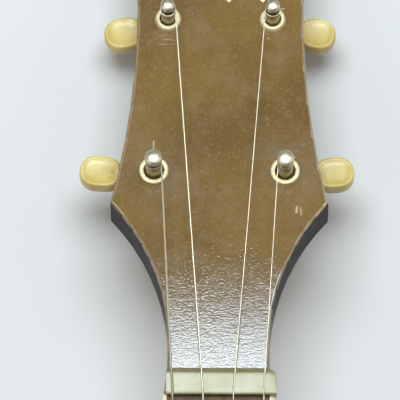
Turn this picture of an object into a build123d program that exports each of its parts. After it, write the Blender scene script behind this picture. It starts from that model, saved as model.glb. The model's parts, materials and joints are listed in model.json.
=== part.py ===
from build123d import *

import math
import os

os.makedirs("parts", exist_ok=True)

# Open-back five-string banjo, in millimetres.
# Origin: centre of the pot on the plane its back edge rests on. +Y runs along the neck to the
# headstock, +X is the treble side and +Z points out of the head.

# ---- driving dimensions: pot
RIM_R = 138.9
RIM_WALL = 14.0
RIM_H = 62.0
TONE_RING_W = 6.9
TONE_RING_H = 9.0
HEAD_T = 0.35
HEAD_R = 139.3
HOOP_R = 144.8
HOOP_ABOVE_HEAD = 4.25
FLESH_HOOP_BASE = 60.6
FLESH_HOOP_TOP = 65.0

# ---- brackets
BRACKETS = 18
NECK_GAP = 13.0
HOOK_R = 148.3
HOOK_D = 2.9
SHOE_Z = 33.0
SHOE_H = 10.0
BOLT_D = 4.0

# ---- strings and neck
SCALE = 666.75
NUT_Y = 634.0
NECK_PITCH = 1.2
FRETS = 22
FRETBOARD_T = 6.0
FRETBOARD_LENGTH = 486.5
NUT_HALF = 16.5
END_HALF = 25.5
FIFTH_HALF = 24.8
FIFTH_FLARE = (128.0, 148.0)
BINDING_W = 1.1
BRIDGE_H = 16.0
ACTION_NUT = 1.9
ACTION_12TH = 4.2
STRING_D = {1: 0.26, 2: 0.30, 3: 0.42, 4: 0.54, 5: 0.26}
NUT_SPACING = 9.07
BRIDGE_SPACING = 11.0
NUT_L = 8.7
NUT_SHIFT = 1.0

# ---- headstock
HEADSTOCK_ANGLE = 12.5
HEADSTOCK_STEP = 4.4
HEADSTOCK_T = 16.5
HEADSTOCK_HALF = 15.3
SHOULDER = (32.9, 52.9)
WAIST = (25.2, 115.8)
WAIST_R = 261.0
CREST_V = 150.0
CREST_EAR = (12.0, 155.5)
TIP_V = 162.0

# ---- tuners: number -> (side, across, along, lever, turn in degrees, string)
TUNERS = {
    1: (1, 19.85, 63.2, 16.9, 4.9, 1),
    2: (1, 15.9, 112.9, 13.6, -11.3, 2),
    3: (-1, 15.9, 112.9, 13.6, -11.3, 3),
    4: (-1, 19.85, 63.2, 16.9, 4.9, 4),
}
TEETH = 12
MODULE = 0.6
WORM_PITCH_R = 1.9
GEAR_W = 2.8
PLATE_T = 1.0
WORM_DEPTH = 20.5
POST_R = 3.0
WAIST_POST_R = 2.0
BARREL_R = 2.45
STRING_HOLE_H = 8.85
STRING_HOLE_R = 0.5
POST_TOP = 12.2
POST_CAP_R = 2.65
POST_DOME = 1.3
FERRULE_R = {1: 4.5, 2: 4.1, 3: 4.1, 4: 4.5}
WRAP_H = 8.0
RUN = 0.06

# ---- worked out from the above
RIM_IR = RIM_R - RIM_WALL
TONE_TOP = RIM_H + TONE_RING_H
HEAD_TOP = TONE_TOP + HEAD_T
HOOP_TOP = HEAD_TOP + HOOP_ABOVE_HEAD
BRIDGE_Y = NUT_Y - SCALE
BRIDGE_TOP = HEAD_TOP + BRIDGE_H
STRING_RISE = (ACTION_12TH - ACTION_NUT) / (SCALE / 2)
FRETBOARD_Z = (
    BRIDGE_TOP
    - 0.2
    - ACTION_NUT
    - SCALE * STRING_RISE
    - SCALE * math.tan(math.radians(NECK_PITCH))
)
GEAR_PITCH_R = MODULE * TEETH / 2
CENTRE_DISTANCE = GEAR_PITCH_R + WORM_PITCH_R
WORM_LEAD = math.pi * MODULE


def tilted(origin, degrees):
    """A plane across the banjo whose normal leans degrees from +Z towards the headstock."""
    turn = math.radians(degrees)
    return Plane(origin=origin, x_dir=(1, 0, 0), z_dir=(0, math.sin(turn), math.cos(turn)))


NECK = tilted((0, NUT_Y, FRETBOARD_Z), NECK_PITCH)
FACE = tilted(
    NECK.from_local_coords((0, NUT_L, -HEADSTOCK_STEP)), NECK_PITCH + HEADSTOCK_ANGLE
)


OUT_OF_FACE = Axis(FACE.origin, FACE.z_dir)


def neck_point(x, y, z):
    """A point given in the neck's own axes: y along it from the nut, z above the fretboard."""
    return NECK.from_local_coords(Vector(x, y, z))


def face_point(x, y, z):
    """A point given in the headstock's own axes: y from the nut's back edge, z above the face."""
    return FACE.from_local_coords(Vector(x, y, z))


def save(piece, name):
    """Names a finished piece and writes its STEP file."""
    piece.part.label = name
    export_step(piece.part, f"parts/{name}.step")


def ring(inner, outer, low, high):
    """A plain ring about the pot's axis, added to the open part."""
    with BuildSketch(Plane.XY.offset(low)) as section:
        Circle(outer)
        Circle(inner, mode=Mode.SUBTRACT)
    extrude(section.sketch, amount=high - low)


def rod(start, end, radius, mode=Mode.ADD):
    """A round rod from start to end, added to the open part."""
    start = Vector(start)
    end = Vector(end)
    run = end - start
    with BuildSketch(Plane(origin=start, z_dir=run)) as section:
        Circle(radius)
    extrude(section.sketch, amount=run.length, mode=mode)


def around_pot(prototype):
    """Copies of a bracket piece drawn on the +X side, one at each bracket round the rim."""
    with BuildPart() as group:
        with PolarLocations(
            0, BRACKETS, 90 + NECK_GAP, 360 - 2 * NECK_GAP, endpoint=True
        ):
            add(prototype.part)
    return group


# ================================================================ pot
with BuildPart() as bolt_hole:
    rod((RIM_IR - 5, 0, SHOE_Z), (RIM_R + 5, 0, SHOE_Z), BOLT_D / 2 + 0.1)

UPPER_ROD_Z = 44.0
LOWER_ROD_Z = 20.0
ROD_R = 4.0
STUD_R = 3.0
ROD_HEIGHTS = (UPPER_ROD_Z, LOWER_ROD_Z)

with BuildPart() as rim:
    ring(RIM_IR, RIM_R, 0, RIM_H)
    fillet(rim.edges().filter_by(GeomType.CIRCLE).group_by(Axis.Z)[0], 1.5)
    add(around_pot(bolt_hole).part, mode=Mode.SUBTRACT)
    for height in ROD_HEIGHTS:
        rod((0, -RIM_R - 5, height), (0, RIM_R + 5, height), STUD_R + 0.1, Mode.SUBTRACT)
save(rim, "rim")

with BuildPart() as tone_ring:
    ring(RIM_R - TONE_RING_W, RIM_R, RIM_H, TONE_TOP)
    fillet(tone_ring.edges().filter_by(GeomType.CIRCLE).group_by(Axis.Z)[-1], 2.4)
save(tone_ring, "tone_ring")

with BuildPart() as head:
    ring(0.01, HEAD_R, TONE_TOP, HEAD_TOP)
    with BuildSketch(Plane.XY.offset(TONE_TOP)):
        Circle(1)
    extrude(amount=HEAD_T)
save(head, "head")

with BuildPart() as flesh_hoop:
    ring(HEAD_R - 0.3, HEAD_R, FLESH_HOOP_BASE, TONE_TOP)
    ring(HEAD_R, HEAD_R + 2.9, FLESH_HOOP_BASE, FLESH_HOOP_TOP)
save(flesh_hoop, "flesh_hoop")

NOTCH_Z = HOOP_TOP - HOOK_D - 0.1
with BuildPart() as notch:
    with BuildSketch(Plane.XY.offset(NOTCH_Z)):
        with Locations((HOOP_R - 2.5, 0)):
            Rectangle(8, HOOK_D + 0.3)
    extrude(amount=6)

with BuildPart() as tension_hoop:
    ring(HEAD_R + 0.5, HOOP_R, FLESH_HOOP_TOP, HOOP_TOP)
    fillet(tension_hoop.edges().filter_by(GeomType.CIRCLE).group_by(Axis.Z)[-1], 0.8)
    ring(HEAD_R + 3.2, HOOP_R, FLESH_HOOP_BASE + 0.2, FLESH_HOOP_TOP)
    add(around_pot(notch).part, mode=Mode.SUBTRACT)
save(tension_hoop, "tension_hoop")

# ================================================================ brackets
NUT_TOP = SHOE_Z - SHOE_H / 2
BRACKET_NUT_L = 12.0
HOOK_BEND = 3.0
HOOK_Z = HOOP_TOP - HOOK_D / 2

with BuildPart() as hook:
    with BuildLine(Plane.XZ) as hook_line:
        Line((HOOK_R, NUT_TOP - 9), (HOOK_R, HOOK_Z - HOOK_BEND))
        RadiusArc((HOOK_R, HOOK_Z - HOOK_BEND), (HOOK_R - HOOK_BEND, HOOK_Z), -HOOK_BEND)
        Line((HOOK_R - HOOK_BEND, HOOK_Z), (HEAD_R + 1.2, HOOK_Z))
    with BuildSketch(Plane.XY.offset(NUT_TOP - 9)):
        with Locations((HOOK_R, 0)):
            Circle(HOOK_D / 2)
    sweep(path=hook_line.wires()[0])
save(around_pot(hook), "bracket_hooks")

with BuildPart() as shoe:
    with BuildSketch(Plane.XY.offset(SHOE_Z - SHOE_H / 2 - 2)):
        with Locations((RIM_R + 1.1, 0)):
            RectangleRounded(2.2, 11, 0.9)
    extrude(amount=SHOE_H + 4)
    with BuildSketch(Plane.XY.offset(SHOE_Z - SHOE_H / 2)):
        with Locations((HOOK_R, 0)):
            Circle(4.2)
        with Locations(((RIM_R + HOOK_R) / 2 + 0.5, 0)):
            Rectangle(HOOK_R - RIM_R, 6.6)
    extrude(amount=SHOE_H)
    fillet(shoe.faces().sort_by(Axis.Z)[-2:].edges().filter_by(GeomType.CIRCLE), 0.6)
    with BuildSketch(Plane.XY):
        with Locations((HOOK_R, 0)):
            Circle(HOOK_D / 2 + 0.1)
    extrude(amount=RIM_H, mode=Mode.SUBTRACT)
    rod((RIM_R - 1, 0, SHOE_Z), (RIM_R + 5.2, 0, SHOE_Z), BOLT_D / 2 + 0.05, Mode.SUBTRACT)
save(around_pot(shoe), "bracket_shoes")

with BuildPart() as bracket_nut:
    with BuildSketch(Plane.XY.offset(NUT_TOP - BRACKET_NUT_L)):
        with Locations((HOOK_R, 0)):
            RegularPolygon(3.6, 6, major_radius=False)
    extrude(amount=BRACKET_NUT_L)
    chamfer(bracket_nut.faces().sort_by(Axis.Z)[0].edges(), 0.7)
    with BuildSketch(Plane.XY.offset(NUT_TOP - 10)):
        with Locations((HOOK_R, 0)):
            Circle(HOOK_D / 2 + 0.05)
    extrude(amount=10, mode=Mode.SUBTRACT)
save(around_pot(bracket_nut), "bracket_nuts")

with BuildPart() as shoe_bolt:
    rod((RIM_IR - 0.1, 0, SHOE_Z), (RIM_R + 5, 0, SHOE_Z), BOLT_D / 2)
    rod((RIM_IR - 2.4, 0, SHOE_Z), (RIM_IR - 0.1, 0, SHOE_Z), 4.0)
    fillet(shoe_bolt.faces().sort_by(Axis.X)[0].edges(), 1.2)
    with Locations((RIM_IR - 2.4, 0, SHOE_Z)):
        Box(1.6, 1.0, 12, mode=Mode.SUBTRACT)
save(around_pot(shoe_bolt), "bracket_bolts")

# ================================================================ coordinator rods
ROD_END = RIM_IR - 0.1
HANGER_BOLT_END = 163.0
WASHER_T = 1.2
BRACKET_PLATE_T = 1.5
for name, height in (("upper", UPPER_ROD_Z), ("lower", LOWER_ROD_Z)):
    with BuildPart() as coordinator_rod:
        rod((0, -ROD_END, height), (0, ROD_END, height), ROD_R)
        rod((0, -RIM_R - 10, height), (0, -ROD_END, height), STUD_R)
        rod((0, ROD_END - 15, height), (0, ROD_END, height), STUD_R + 0.1, Mode.SUBTRACT)
        rod((-5, ROD_END - 30, height), (5, ROD_END - 30, height), 1.5, Mode.SUBTRACT)
    save(coordinator_rod, f"coordinator_rod_{name}")

with BuildPart() as neck_hanger_bolts:
    for height in ROD_HEIGHTS:
        rod((0, ROD_END - 14.5, height), (0, HANGER_BOLT_END, height), STUD_R)
save(neck_hanger_bolts, "neck_hanger_bolts")

with BuildPart() as rod_nuts:
    for height, start in ((UPPER_ROD_Z, RIM_R + BRACKET_PLATE_T), (LOWER_ROD_Z, RIM_R)):
        rod((0, -start, height), (0, -start - WASHER_T, height), 7.0)
        with BuildSketch(Plane(origin=(0, -start - WASHER_T, height), z_dir=(0, -1, 0))):
            RegularPolygon(5.2, 6, major_radius=False)
        extrude(amount=5)
        rod((0, -start + 1, height), (0, -start - 12, height), STUD_R + 0.05, Mode.SUBTRACT)
save(rod_nuts, "rod_nuts")

# ================================================================ tailpiece
TAB_Z = 58.0
TAIL_BOLT_Y = -153.5
TAIL_W = 34.0
TAIL_BACK = -158.0
TAIL_FRONT = -112.0
TAIL_Z = HOOP_TOP + 1.6
TAIL_PLATE_T = 1.6
HINGE_Y = TAIL_BACK - 1.6
HINGE_Z = TAIL_Z + TAIL_PLATE_T + 1.2
PIN_R = 1.0

with BuildPart() as tailpiece_bracket:
    with Locations((0, -RIM_R - BRACKET_PLATE_T / 2, (UPPER_ROD_Z - 9 + TAB_Z) / 2)):
        Box(16, BRACKET_PLATE_T, TAB_Z - UPPER_ROD_Z + 9)
    with Locations((0, (-RIM_R + TAIL_BOLT_Y - 7) / 2, TAB_Z - BRACKET_PLATE_T / 2)):
        Box(16, -RIM_R - TAIL_BOLT_Y + 7, BRACKET_PLATE_T)
    rod((0, -RIM_R + 1, UPPER_ROD_Z), (0, -RIM_R - 4, UPPER_ROD_Z), STUD_R + 0.1, Mode.SUBTRACT)
    rod((0, TAIL_BOLT_Y, TAB_Z - 4), (0, TAIL_BOLT_Y, TAB_Z + 4), 2.1, Mode.SUBTRACT)
save(tailpiece_bracket, "tailpiece_bracket")

with BuildPart() as tailpiece_bolt:
    rod((0, TAIL_BOLT_Y, TAB_Z - 12), (0, TAIL_BOLT_Y, TAIL_Z + TAIL_PLATE_T), 2.0)
    rod(
        (0, TAIL_BOLT_Y, TAIL_Z + TAIL_PLATE_T),
        (0, TAIL_BOLT_Y, TAIL_Z + TAIL_PLATE_T + 1.6),
        3.4,
    )
save(tailpiece_bolt, "tailpiece_bolt")

with BuildPart() as tailpiece_nut:
    with BuildSketch(Plane.XY.offset(TAB_Z - BRACKET_PLATE_T - 5)):
        with Locations((0, TAIL_BOLT_Y)):
            RegularPolygon(4.0, 6, major_radius=False)
            Circle(2.05, mode=Mode.SUBTRACT)
    extrude(amount=5)
save(tailpiece_nut, "tailpiece_nut")

STRING_PIN_Y = -131.0
STRING_PIN_R = 1.1
TAIL_STRING_Z = TAIL_Z + TAIL_PLATE_T + 1.4


def tail_x(number):
    """Where a string hooks on in the tailpiece, from string 1 at +X to string 5 at -X."""
    return (3 - number) * 5.6


with BuildPart() as tailpiece_base:
    with BuildSketch(Plane.XY.offset(TAIL_Z)):
        with Locations((0, (TAIL_BACK + TAIL_FRONT) / 2)):
            RectangleRounded(TAIL_W, TAIL_FRONT - TAIL_BACK, 3)
        with Locations((0, TAIL_BOLT_Y)):
            Circle(2.1, mode=Mode.SUBTRACT)
    extrude(amount=TAIL_PLATE_T)
    for side in (-1, 1):
        with Locations((side * 11, HINGE_Y + 0.9, (TAIL_Z + HINGE_Z) / 2 + 0.4)):
            Box(5, 3.4, HINGE_Z - TAIL_Z + 0.8)
        rod(
            (side * 8, HINGE_Y, HINGE_Z), (side * 14, HINGE_Y, HINGE_Z), PIN_R + 0.9
        )
    rod((-20, HINGE_Y, HINGE_Z), (20, HINGE_Y, HINGE_Z), PIN_R + 0.05, Mode.SUBTRACT)
    for number in STRING_D:
        rod(
            (tail_x(number), STRING_PIN_Y, TAIL_Z + TAIL_PLATE_T - 0.5),
            (tail_x(number), STRING_PIN_Y, TAIL_STRING_Z + 1.0),
            STRING_PIN_R,
        )
    with Locations((0, TAIL_FRONT - 1.2, TAIL_Z + TAIL_PLATE_T + 0.4)):
        Box(TAIL_W - 8, 1.6, 1.2)
save(tailpiece_base, "tailpiece_base")

COVER_IN = 0.35
COVER_TOP = TAIL_STRING_Z + 5.2
COVER_T = 1.1
with BuildPart() as tailpiece_cover:
    cover_half = TAIL_W / 2 + COVER_IN + COVER_T
    cover_low = TAIL_Z + 0.4
    cover_back = TAIL_BACK + 3.4
    with BuildSketch(Plane.XY.offset(cover_low)):
        with Locations((0, (cover_back + TAIL_FRONT) / 2 + 1)):
            Rectangle(2 * cover_half, TAIL_FRONT - cover_back + 4)
    extrude(amount=COVER_TOP - cover_low)
    fillet(tailpiece_cover.edges().filter_by(Axis.Y).group_by(Axis.Z)[-1], 3.0)
    fillet(tailpiece_cover.edges().filter_by(Axis.X).sort_by(Axis.Z)[-2:], 1.6)
    with BuildSketch(Plane.XZ.offset(-TAIL_FRONT - 6)):
        with BuildLine():
            FilletPolyline(
                (-cover_half + COVER_T, cover_low - 1),
                (-cover_half + COVER_T, COVER_TOP - COVER_T),
                (cover_half - COVER_T, COVER_TOP - COVER_T),
                (cover_half - COVER_T, cover_low - 1),
                radius=2.0,
            )
            Line((cover_half - COVER_T, cover_low - 1), (-cover_half + COVER_T, cover_low - 1))
        make_face()
    extrude(amount=TAIL_FRONT - cover_back + 12, mode=Mode.SUBTRACT)
    with Locations((0, (HINGE_Y + cover_back) / 2 + 1.2, COVER_TOP - COVER_T / 2)):
        Box(14, cover_back - HINGE_Y + 2.0, COVER_T)
    with Locations((0, HINGE_Y, (HINGE_Z + COVER_TOP) / 2)):
        Box(14, 2.2, COVER_TOP - HINGE_Z)
    rod((-7, HINGE_Y, HINGE_Z), (7, HINGE_Y, HINGE_Z), PIN_R + 0.9)
    rod((-20, HINGE_Y, HINGE_Z), (20, HINGE_Y, HINGE_Z), PIN_R + RUN, Mode.SUBTRACT)
save(tailpiece_cover, "tailpiece_cover")

with BuildPart() as tailpiece_hinge_pin:
    rod((-14.6, HINGE_Y, HINGE_Z), (14.6, HINGE_Y, HINGE_Z), PIN_R)
save(tailpiece_hinge_pin, "tailpiece_hinge_pin")

# ================================================================ bridge
BRIDGE_HALF = 32.0
BRIDGE_FOOT = 9.0
CAP_H = 2.4
with BuildPart() as bridge_body:
    with BuildSketch(Plane.XZ.offset(-BRIDGE_Y)):
        with BuildLine():
            Polyline(
                (-BRIDGE_HALF, HEAD_TOP),
                (-BRIDGE_HALF, HEAD_TOP + 3),
                (-26, BRIDGE_TOP - CAP_H),
                (26, BRIDGE_TOP - CAP_H),
                (BRIDGE_HALF, HEAD_TOP + 3),
                (BRIDGE_HALF, HEAD_TOP),
                (BRIDGE_HALF - BRIDGE_FOOT, HEAD_TOP),
            )
            ThreePointArc(
                (BRIDGE_HALF - BRIDGE_FOOT, HEAD_TOP),
                (13.8, HEAD_TOP + 7.5),
                (4.5, HEAD_TOP),
            )
            Line((4.5, HEAD_TOP), (-4.5, HEAD_TOP))
            ThreePointArc(
                (-4.5, HEAD_TOP),
                (-13.8, HEAD_TOP + 7.5),
                (-BRIDGE_HALF + BRIDGE_FOOT, HEAD_TOP),
            )
            Line((-BRIDGE_HALF + BRIDGE_FOOT, HEAD_TOP), (-BRIDGE_HALF, HEAD_TOP))
        make_face()
    extrude(amount=3.2, both=True)
    for side in (-1, 1):
        with BuildSketch(Plane.YZ.offset(-BRIDGE_HALF - 1)):
            with BuildLine():
                Polyline(
                    (BRIDGE_Y + side * 3.3, HEAD_TOP + 1),
                    (BRIDGE_Y + side * 1.3, BRIDGE_TOP),
                    (BRIDGE_Y + side * 3.3, BRIDGE_TOP),
                    close=True,
                )
            make_face()
        extrude(amount=2 * BRIDGE_HALF + 2, mode=Mode.SUBTRACT)
save(bridge_body, "bridge")

with BuildPart() as bridge_cap:
    with BuildSketch(Plane.YZ.offset(-26)):
        with BuildLine():
            Polyline(
                (BRIDGE_Y - 1.55, BRIDGE_TOP - CAP_H),
                (BRIDGE_Y - 1.15, BRIDGE_TOP),
                (BRIDGE_Y + 1.15, BRIDGE_TOP),
                (BRIDGE_Y + 1.55, BRIDGE_TOP - CAP_H),
                close=True,
            )
        make_face()
    extrude(amount=52)
    for number, width in STRING_D.items():
        with Locations(((3 - number) * BRIDGE_SPACING, BRIDGE_Y, BRIDGE_TOP)):
            Box(width + 0.12, 6, width + 0.7, mode=Mode.SUBTRACT)
save(bridge_cap, "bridge_cap")


# ================================================================ fretboard
def fret_distance(number):
    """How far a fret lies from the nut."""
    return SCALE * (1 - 2 ** (-number / 12))


def treble_edge(distance):
    """The fretboard's half width on the treble side."""
    return NUT_HALF + (END_HALF - NUT_HALF) * distance / FRETBOARD_LENGTH


def bass_edge(distance):
    """The fretboard's half width on the bass side, which flares for the fifth string."""
    start, end = FIFTH_FLARE
    narrow = NUT_HALF + 0.005 * min(distance, start)
    part = min(max((distance - start) / (end - start), 0), 1)
    ease = part * part * (3 - 2 * part)
    wide = FIFTH_HALF + (END_HALF - FIFTH_HALF) * distance / FRETBOARD_LENGTH
    return narrow + ease * (wide - narrow)


def board_outline(inset, front, back):
    """The fretboard's plan, inset from its edges, as a line to make a face from."""
    start, end = FIFTH_FLARE
    flare = [start + (end - start) * i / 4 for i in range(5)]
    with BuildLine(Plane.XY) as outline:
        Line((-bass_edge(-front) + inset, front), (treble_edge(-front) - inset, front))
        Line((treble_edge(-front) - inset, front), (treble_edge(-back) - inset, back))
        Line((treble_edge(-back) - inset, back), (-bass_edge(-back) + inset, back))
        Line((-bass_edge(-back) + inset, back), (-bass_edge(end) + inset, -end))
        Spline(
            [(-bass_edge(d) + inset, -d) for d in reversed(flare)],
            tangents=((0, 1), (0, 1)),
        )
        Line((-bass_edge(start) + inset, -start), (-bass_edge(-front) + inset, front))
    return outline.edges()


DOTS = ((5, 0), (7, 0), (10, 0), (12, -9), (12, 9), (15, 0), (17, 0))
DOT_R = 2.8
DOT_T = 1.2
TANG_W = 0.6
TANG_H = 1.6
CROWN_H = 1.0
FIFTH_NUT_D = fret_distance(5) - 4.2
FIFTH_NUT_X = -22.3
FIFTH_NUT_R = 1.5


def dot_place(number, shift):
    """The middle of the space before a fret, moved sideways by shift."""
    distance = (fret_distance(number) + fret_distance(number - 1)) / 2
    return ((treble_edge(distance) - bass_edge(distance)) / 2 + shift, -distance)


with BuildPart() as fretboard:
    with BuildSketch(NECK.offset(-FRETBOARD_T)):
        make_face(board_outline(BINDING_W, 0, -FRETBOARD_LENGTH))
    extrude(amount=FRETBOARD_T)
    with BuildSketch(NECK.offset(-DOT_T)):
        for dot in DOTS:
            with Locations(dot_place(*dot)):
                Circle(DOT_R)
    extrude(amount=DOT_T + 1, mode=Mode.SUBTRACT)
    with BuildSketch(NECK.offset(-TANG_H)):
        for number in range(1, FRETS + 1):
            with Locations((0, -fret_distance(number))):
                Rectangle(80, TANG_W)
    extrude(amount=TANG_H + 1, mode=Mode.SUBTRACT)
    with BuildSketch(NECK.offset(-FRETBOARD_T)):
        with Locations((FIFTH_NUT_X, -FIFTH_NUT_D)):
            Circle(FIFTH_NUT_R)
    extrude(amount=FRETBOARD_T + 1, mode=Mode.SUBTRACT)
save(fretboard, "fretboard")

with BuildPart() as fretboard_binding:
    with BuildSketch(NECK.offset(-FRETBOARD_T)):
        make_face(board_outline(0, 0, -FRETBOARD_LENGTH))
    extrude(amount=FRETBOARD_T)
    with BuildSketch(NECK.offset(-FRETBOARD_T - 1)):
        make_face(board_outline(BINDING_W, 1, -FRETBOARD_LENGTH - 1))
    extrude(amount=FRETBOARD_T + 2, mode=Mode.SUBTRACT)
save(fretboard_binding, "fretboard_binding")

with BuildPart() as position_dots:
    with BuildSketch(NECK.offset(-DOT_T)):
        for dot in DOTS:
            with Locations(dot_place(*dot)):
                Circle(DOT_R)
    extrude(amount=DOT_T)
save(position_dots, "position_dots")

with BuildPart() as frets:
    for number in range(1, FRETS + 1):
        distance = fret_distance(number)
        low = -bass_edge(distance) + 0.3
        high = treble_edge(distance) - 0.3
        with BuildSketch(
            Plane(origin=neck_point(low, -distance, 0), x_dir=NECK.y_dir, z_dir=(1, 0, 0))
        ):
            with BuildLine():
                ThreePointArc((-1.1, 0), (0, CROWN_H), (1.1, 0))
                Line((1.1, 0), (-1.1, 0))
            make_face()
        extrude(amount=high - low)
        tang_low = low + BINDING_W + 0.1
        with BuildSketch(
            Plane(origin=neck_point(tang_low, -distance, 0), x_dir=NECK.y_dir, z_dir=(1, 0, 0))
        ):
            with Locations((0, -TANG_H / 2 + 0.05)):
                Rectangle(TANG_W - 0.04, TANG_H - 0.1)
        extrude(amount=high - BINDING_W - 0.1 - tang_low)
save(frets, "frets")

# ================================================================ tuner places
TUNER_PLANES = {}
for number, (side, across, along, lever, turn, string) in TUNERS.items():
    angle = math.radians(turn)
    outward = FACE.x_dir * (side * math.cos(angle)) + FACE.y_dir * math.sin(angle)
    TUNER_PLANES[number] = Plane(
        origin=face_point(side * across, along, 0), x_dir=outward, z_dir=FACE.z_dir
    )

# ================================================================ string routes
SLOT_Y = 0.6


def nut_x(number):
    """Where a string crosses the nut."""
    return (2.5 - number) * NUT_SPACING


def post_tangent(number):
    """Where a string meets the inner side of its post's windings, in the headstock's axes."""
    side, across, along = TUNERS[number][:3]
    radius = WAIST_POST_R + STRING_D[number] / 2
    start = FACE.to_local_coords(neck_point(nut_x(number), SLOT_Y, ACTION_NUT))
    to_post = Vector(side * across - start.X, along - start.Y)
    reach = math.sqrt(to_post.length**2 - radius**2)
    swing = math.degrees(math.asin(radius / to_post.length))
    heading = to_post.normalized().rotate(Axis.Z, side * swing)
    return Vector(start.X, start.Y) + heading * reach + Vector(0, 0, WRAP_H)


def shortened(start, end, cut):
    """The end point moved back towards start by cut."""
    run = end - start
    return start + run * ((run.length - cut) / run.length)


FIFTH_PEG_D = 153.0
FIFTH_PEG_TILT = 35.0
PEG_DIR = Vector(
    -math.cos(math.radians(FIFTH_PEG_TILT)), 0, math.sin(math.radians(FIFTH_PEG_TILT))
)
PEG_START = Vector(-FIFTH_HALF, -FIFTH_PEG_D, -FRETBOARD_T - 4.6)
PEG_GROOVE = 9.0
PEG_GROOVE_R = 2.0
PEG_UP = Vector(
    math.sin(math.radians(FIFTH_PEG_TILT)), 0, math.cos(math.radians(FIFTH_PEG_TILT))
)


def peg_point(along, up=0.0):
    """A point on the fifth peg: along its axis from the neck's side, and above the axis."""
    local = PEG_START + PEG_DIR * along + PEG_UP * up
    return NECK.from_local_coords(local)


def string_route(number):
    """A string's corner points, from the tailpiece to just short of its windings."""
    tail = Vector(tail_x(number), STRING_PIN_Y + STRING_PIN_R + 0.5, TAIL_STRING_Z)
    over_bridge = Vector((3 - number) * BRIDGE_SPACING, BRIDGE_Y, BRIDGE_TOP - 0.2)
    if number == 5:
        crest = neck_point(FIFTH_NUT_X, -FIFTH_NUT_D, 3.0)
        end = peg_point(PEG_GROOVE, PEG_GROOVE_R + STRING_D[5] / 2 + 0.1)
    else:
        crest = neck_point(nut_x(number), SLOT_Y, ACTION_NUT)
        end = FACE.from_local_coords(post_tangent(number))
    return [tail, over_bridge, crest, shortened(crest, end, 1.9)]


for number, width in STRING_D.items():
    route = string_route(number)
    with BuildPart() as string:
        for start, end in zip(route, route[1:]):
            rod(start, end, width / 2)
        with Locations(*route[1:-1]):
            Sphere(width / 2)
    save(string, f"string_{number}")


def cut_string_slots(numbers):
    """Cuts the open part where strings pass through it, from each string's underside up."""
    for number in numbers:
        route = string_route(number)
        crest = route[2]
        width = STRING_D[number]
        for end in (route[1], route[3]):
            along = (end - crest).normalized()
            up = NECK.z_dir
            with BuildSketch(
                Plane(origin=crest - along * 0.3, x_dir=along.cross(up), z_dir=along)
            ) as slot:
                with Locations((0, 2.0 - width / 2 - 0.03)):
                    Rectangle(width + 0.1, 4.0)
            extrude(slot.sketch, amount=9.5, mode=Mode.SUBTRACT)


with BuildPart() as fifth_string_nut:
    with BuildSketch(NECK.offset(-FRETBOARD_T)):
        with Locations((FIFTH_NUT_X, -FIFTH_NUT_D)):
            Circle(FIFTH_NUT_R - 0.02)
    extrude(amount=FRETBOARD_T + 3.6)
    fillet(fifth_string_nut.faces().sort_by(Axis.Z)[-1].edges(), 0.5)
    cut_string_slots([5])
save(fifth_string_nut, "fifth_string_nut")

with BuildPart() as nut:
    with BuildSketch(
        Plane(
            origin=neck_point(NUT_SHIFT - NUT_HALF, 0, 0), x_dir=NECK.y_dir, z_dir=(1, 0, 0)
        )
    ):
        with BuildLine():
            Polyline(
                (0, -FRETBOARD_T),
                (0, 2.2),
                (0.5, 2.5),
                (6.6, 1.3),
                (NUT_L, -HEADSTOCK_STEP - 0.05),
                (NUT_L, -FRETBOARD_T),
                close=True,
            )
        make_face()
    extrude(amount=2 * NUT_HALF)
    rear_corners = nut.edges().filter_by(
        lambda e: e.length > 4 and abs(e.tangent_at(0.5).X) < 0.1
    )
    fillet(rear_corners.sort_by(Axis.X)[-3:].sort_by(Axis.Y)[-1:], 1.6)
    cut_string_slots([1, 2, 3, 4])
save(nut, "nut")

# ================================================================ neck
SCREW_PLACES = ((-9.5, -4.2), (-9.5, 6.8), (4.9, -5.2))
SCREW_L = 8.0
SCREW_R = 1.2
BAR_W = 6.0
BAR_H = 9.0
BAR_FROM = 18.0
BAR_TO = 470.0
HEEL_BASE = 5.0
CAP_BASE = 2.2


def neck_section(distance, depth, wide=None):
    """The neck's D-shaped section below the fretboard, as a face across the neck."""
    bass = wide or bass_edge(distance)
    treble = wide or treble_edge(distance)
    plane = Plane(
        origin=neck_point(0, -distance, -FRETBOARD_T), x_dir=(1, 0, 0), z_dir=-NECK.y_dir
    )
    middle = (treble - bass) / 2
    with BuildSketch(plane) as section:
        with BuildLine():
            Line((-bass, 0), (treble, 0))
            Spline(
                (treble, 0),
                (treble - 0.14 * (treble + bass) / 2, -0.60 * depth),
                (middle, -depth),
                (-bass + 0.14 * (treble + bass) / 2, -0.60 * depth),
                (-bass, 0),
                tangents=((0, -1), (0, 1)),
            )
        make_face()
    return section.sketch


def heel_section(height, half, nose):
    """The heel's outline at one height: straight sides and a round nose along +Y."""
    with BuildSketch(Plane.XY.offset(height)) as section:
        with BuildLine():
            Line((-half, RIM_R - 14), (half, RIM_R - 14))
            Line((half, RIM_R - 14), (half, nose - half))
            ThreePointArc((half, nose - half), (0, nose), (-half, nose - half))
            Line((-half, nose - half), (-half, RIM_R - 14))
        make_face()
    return section.sketch


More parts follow.
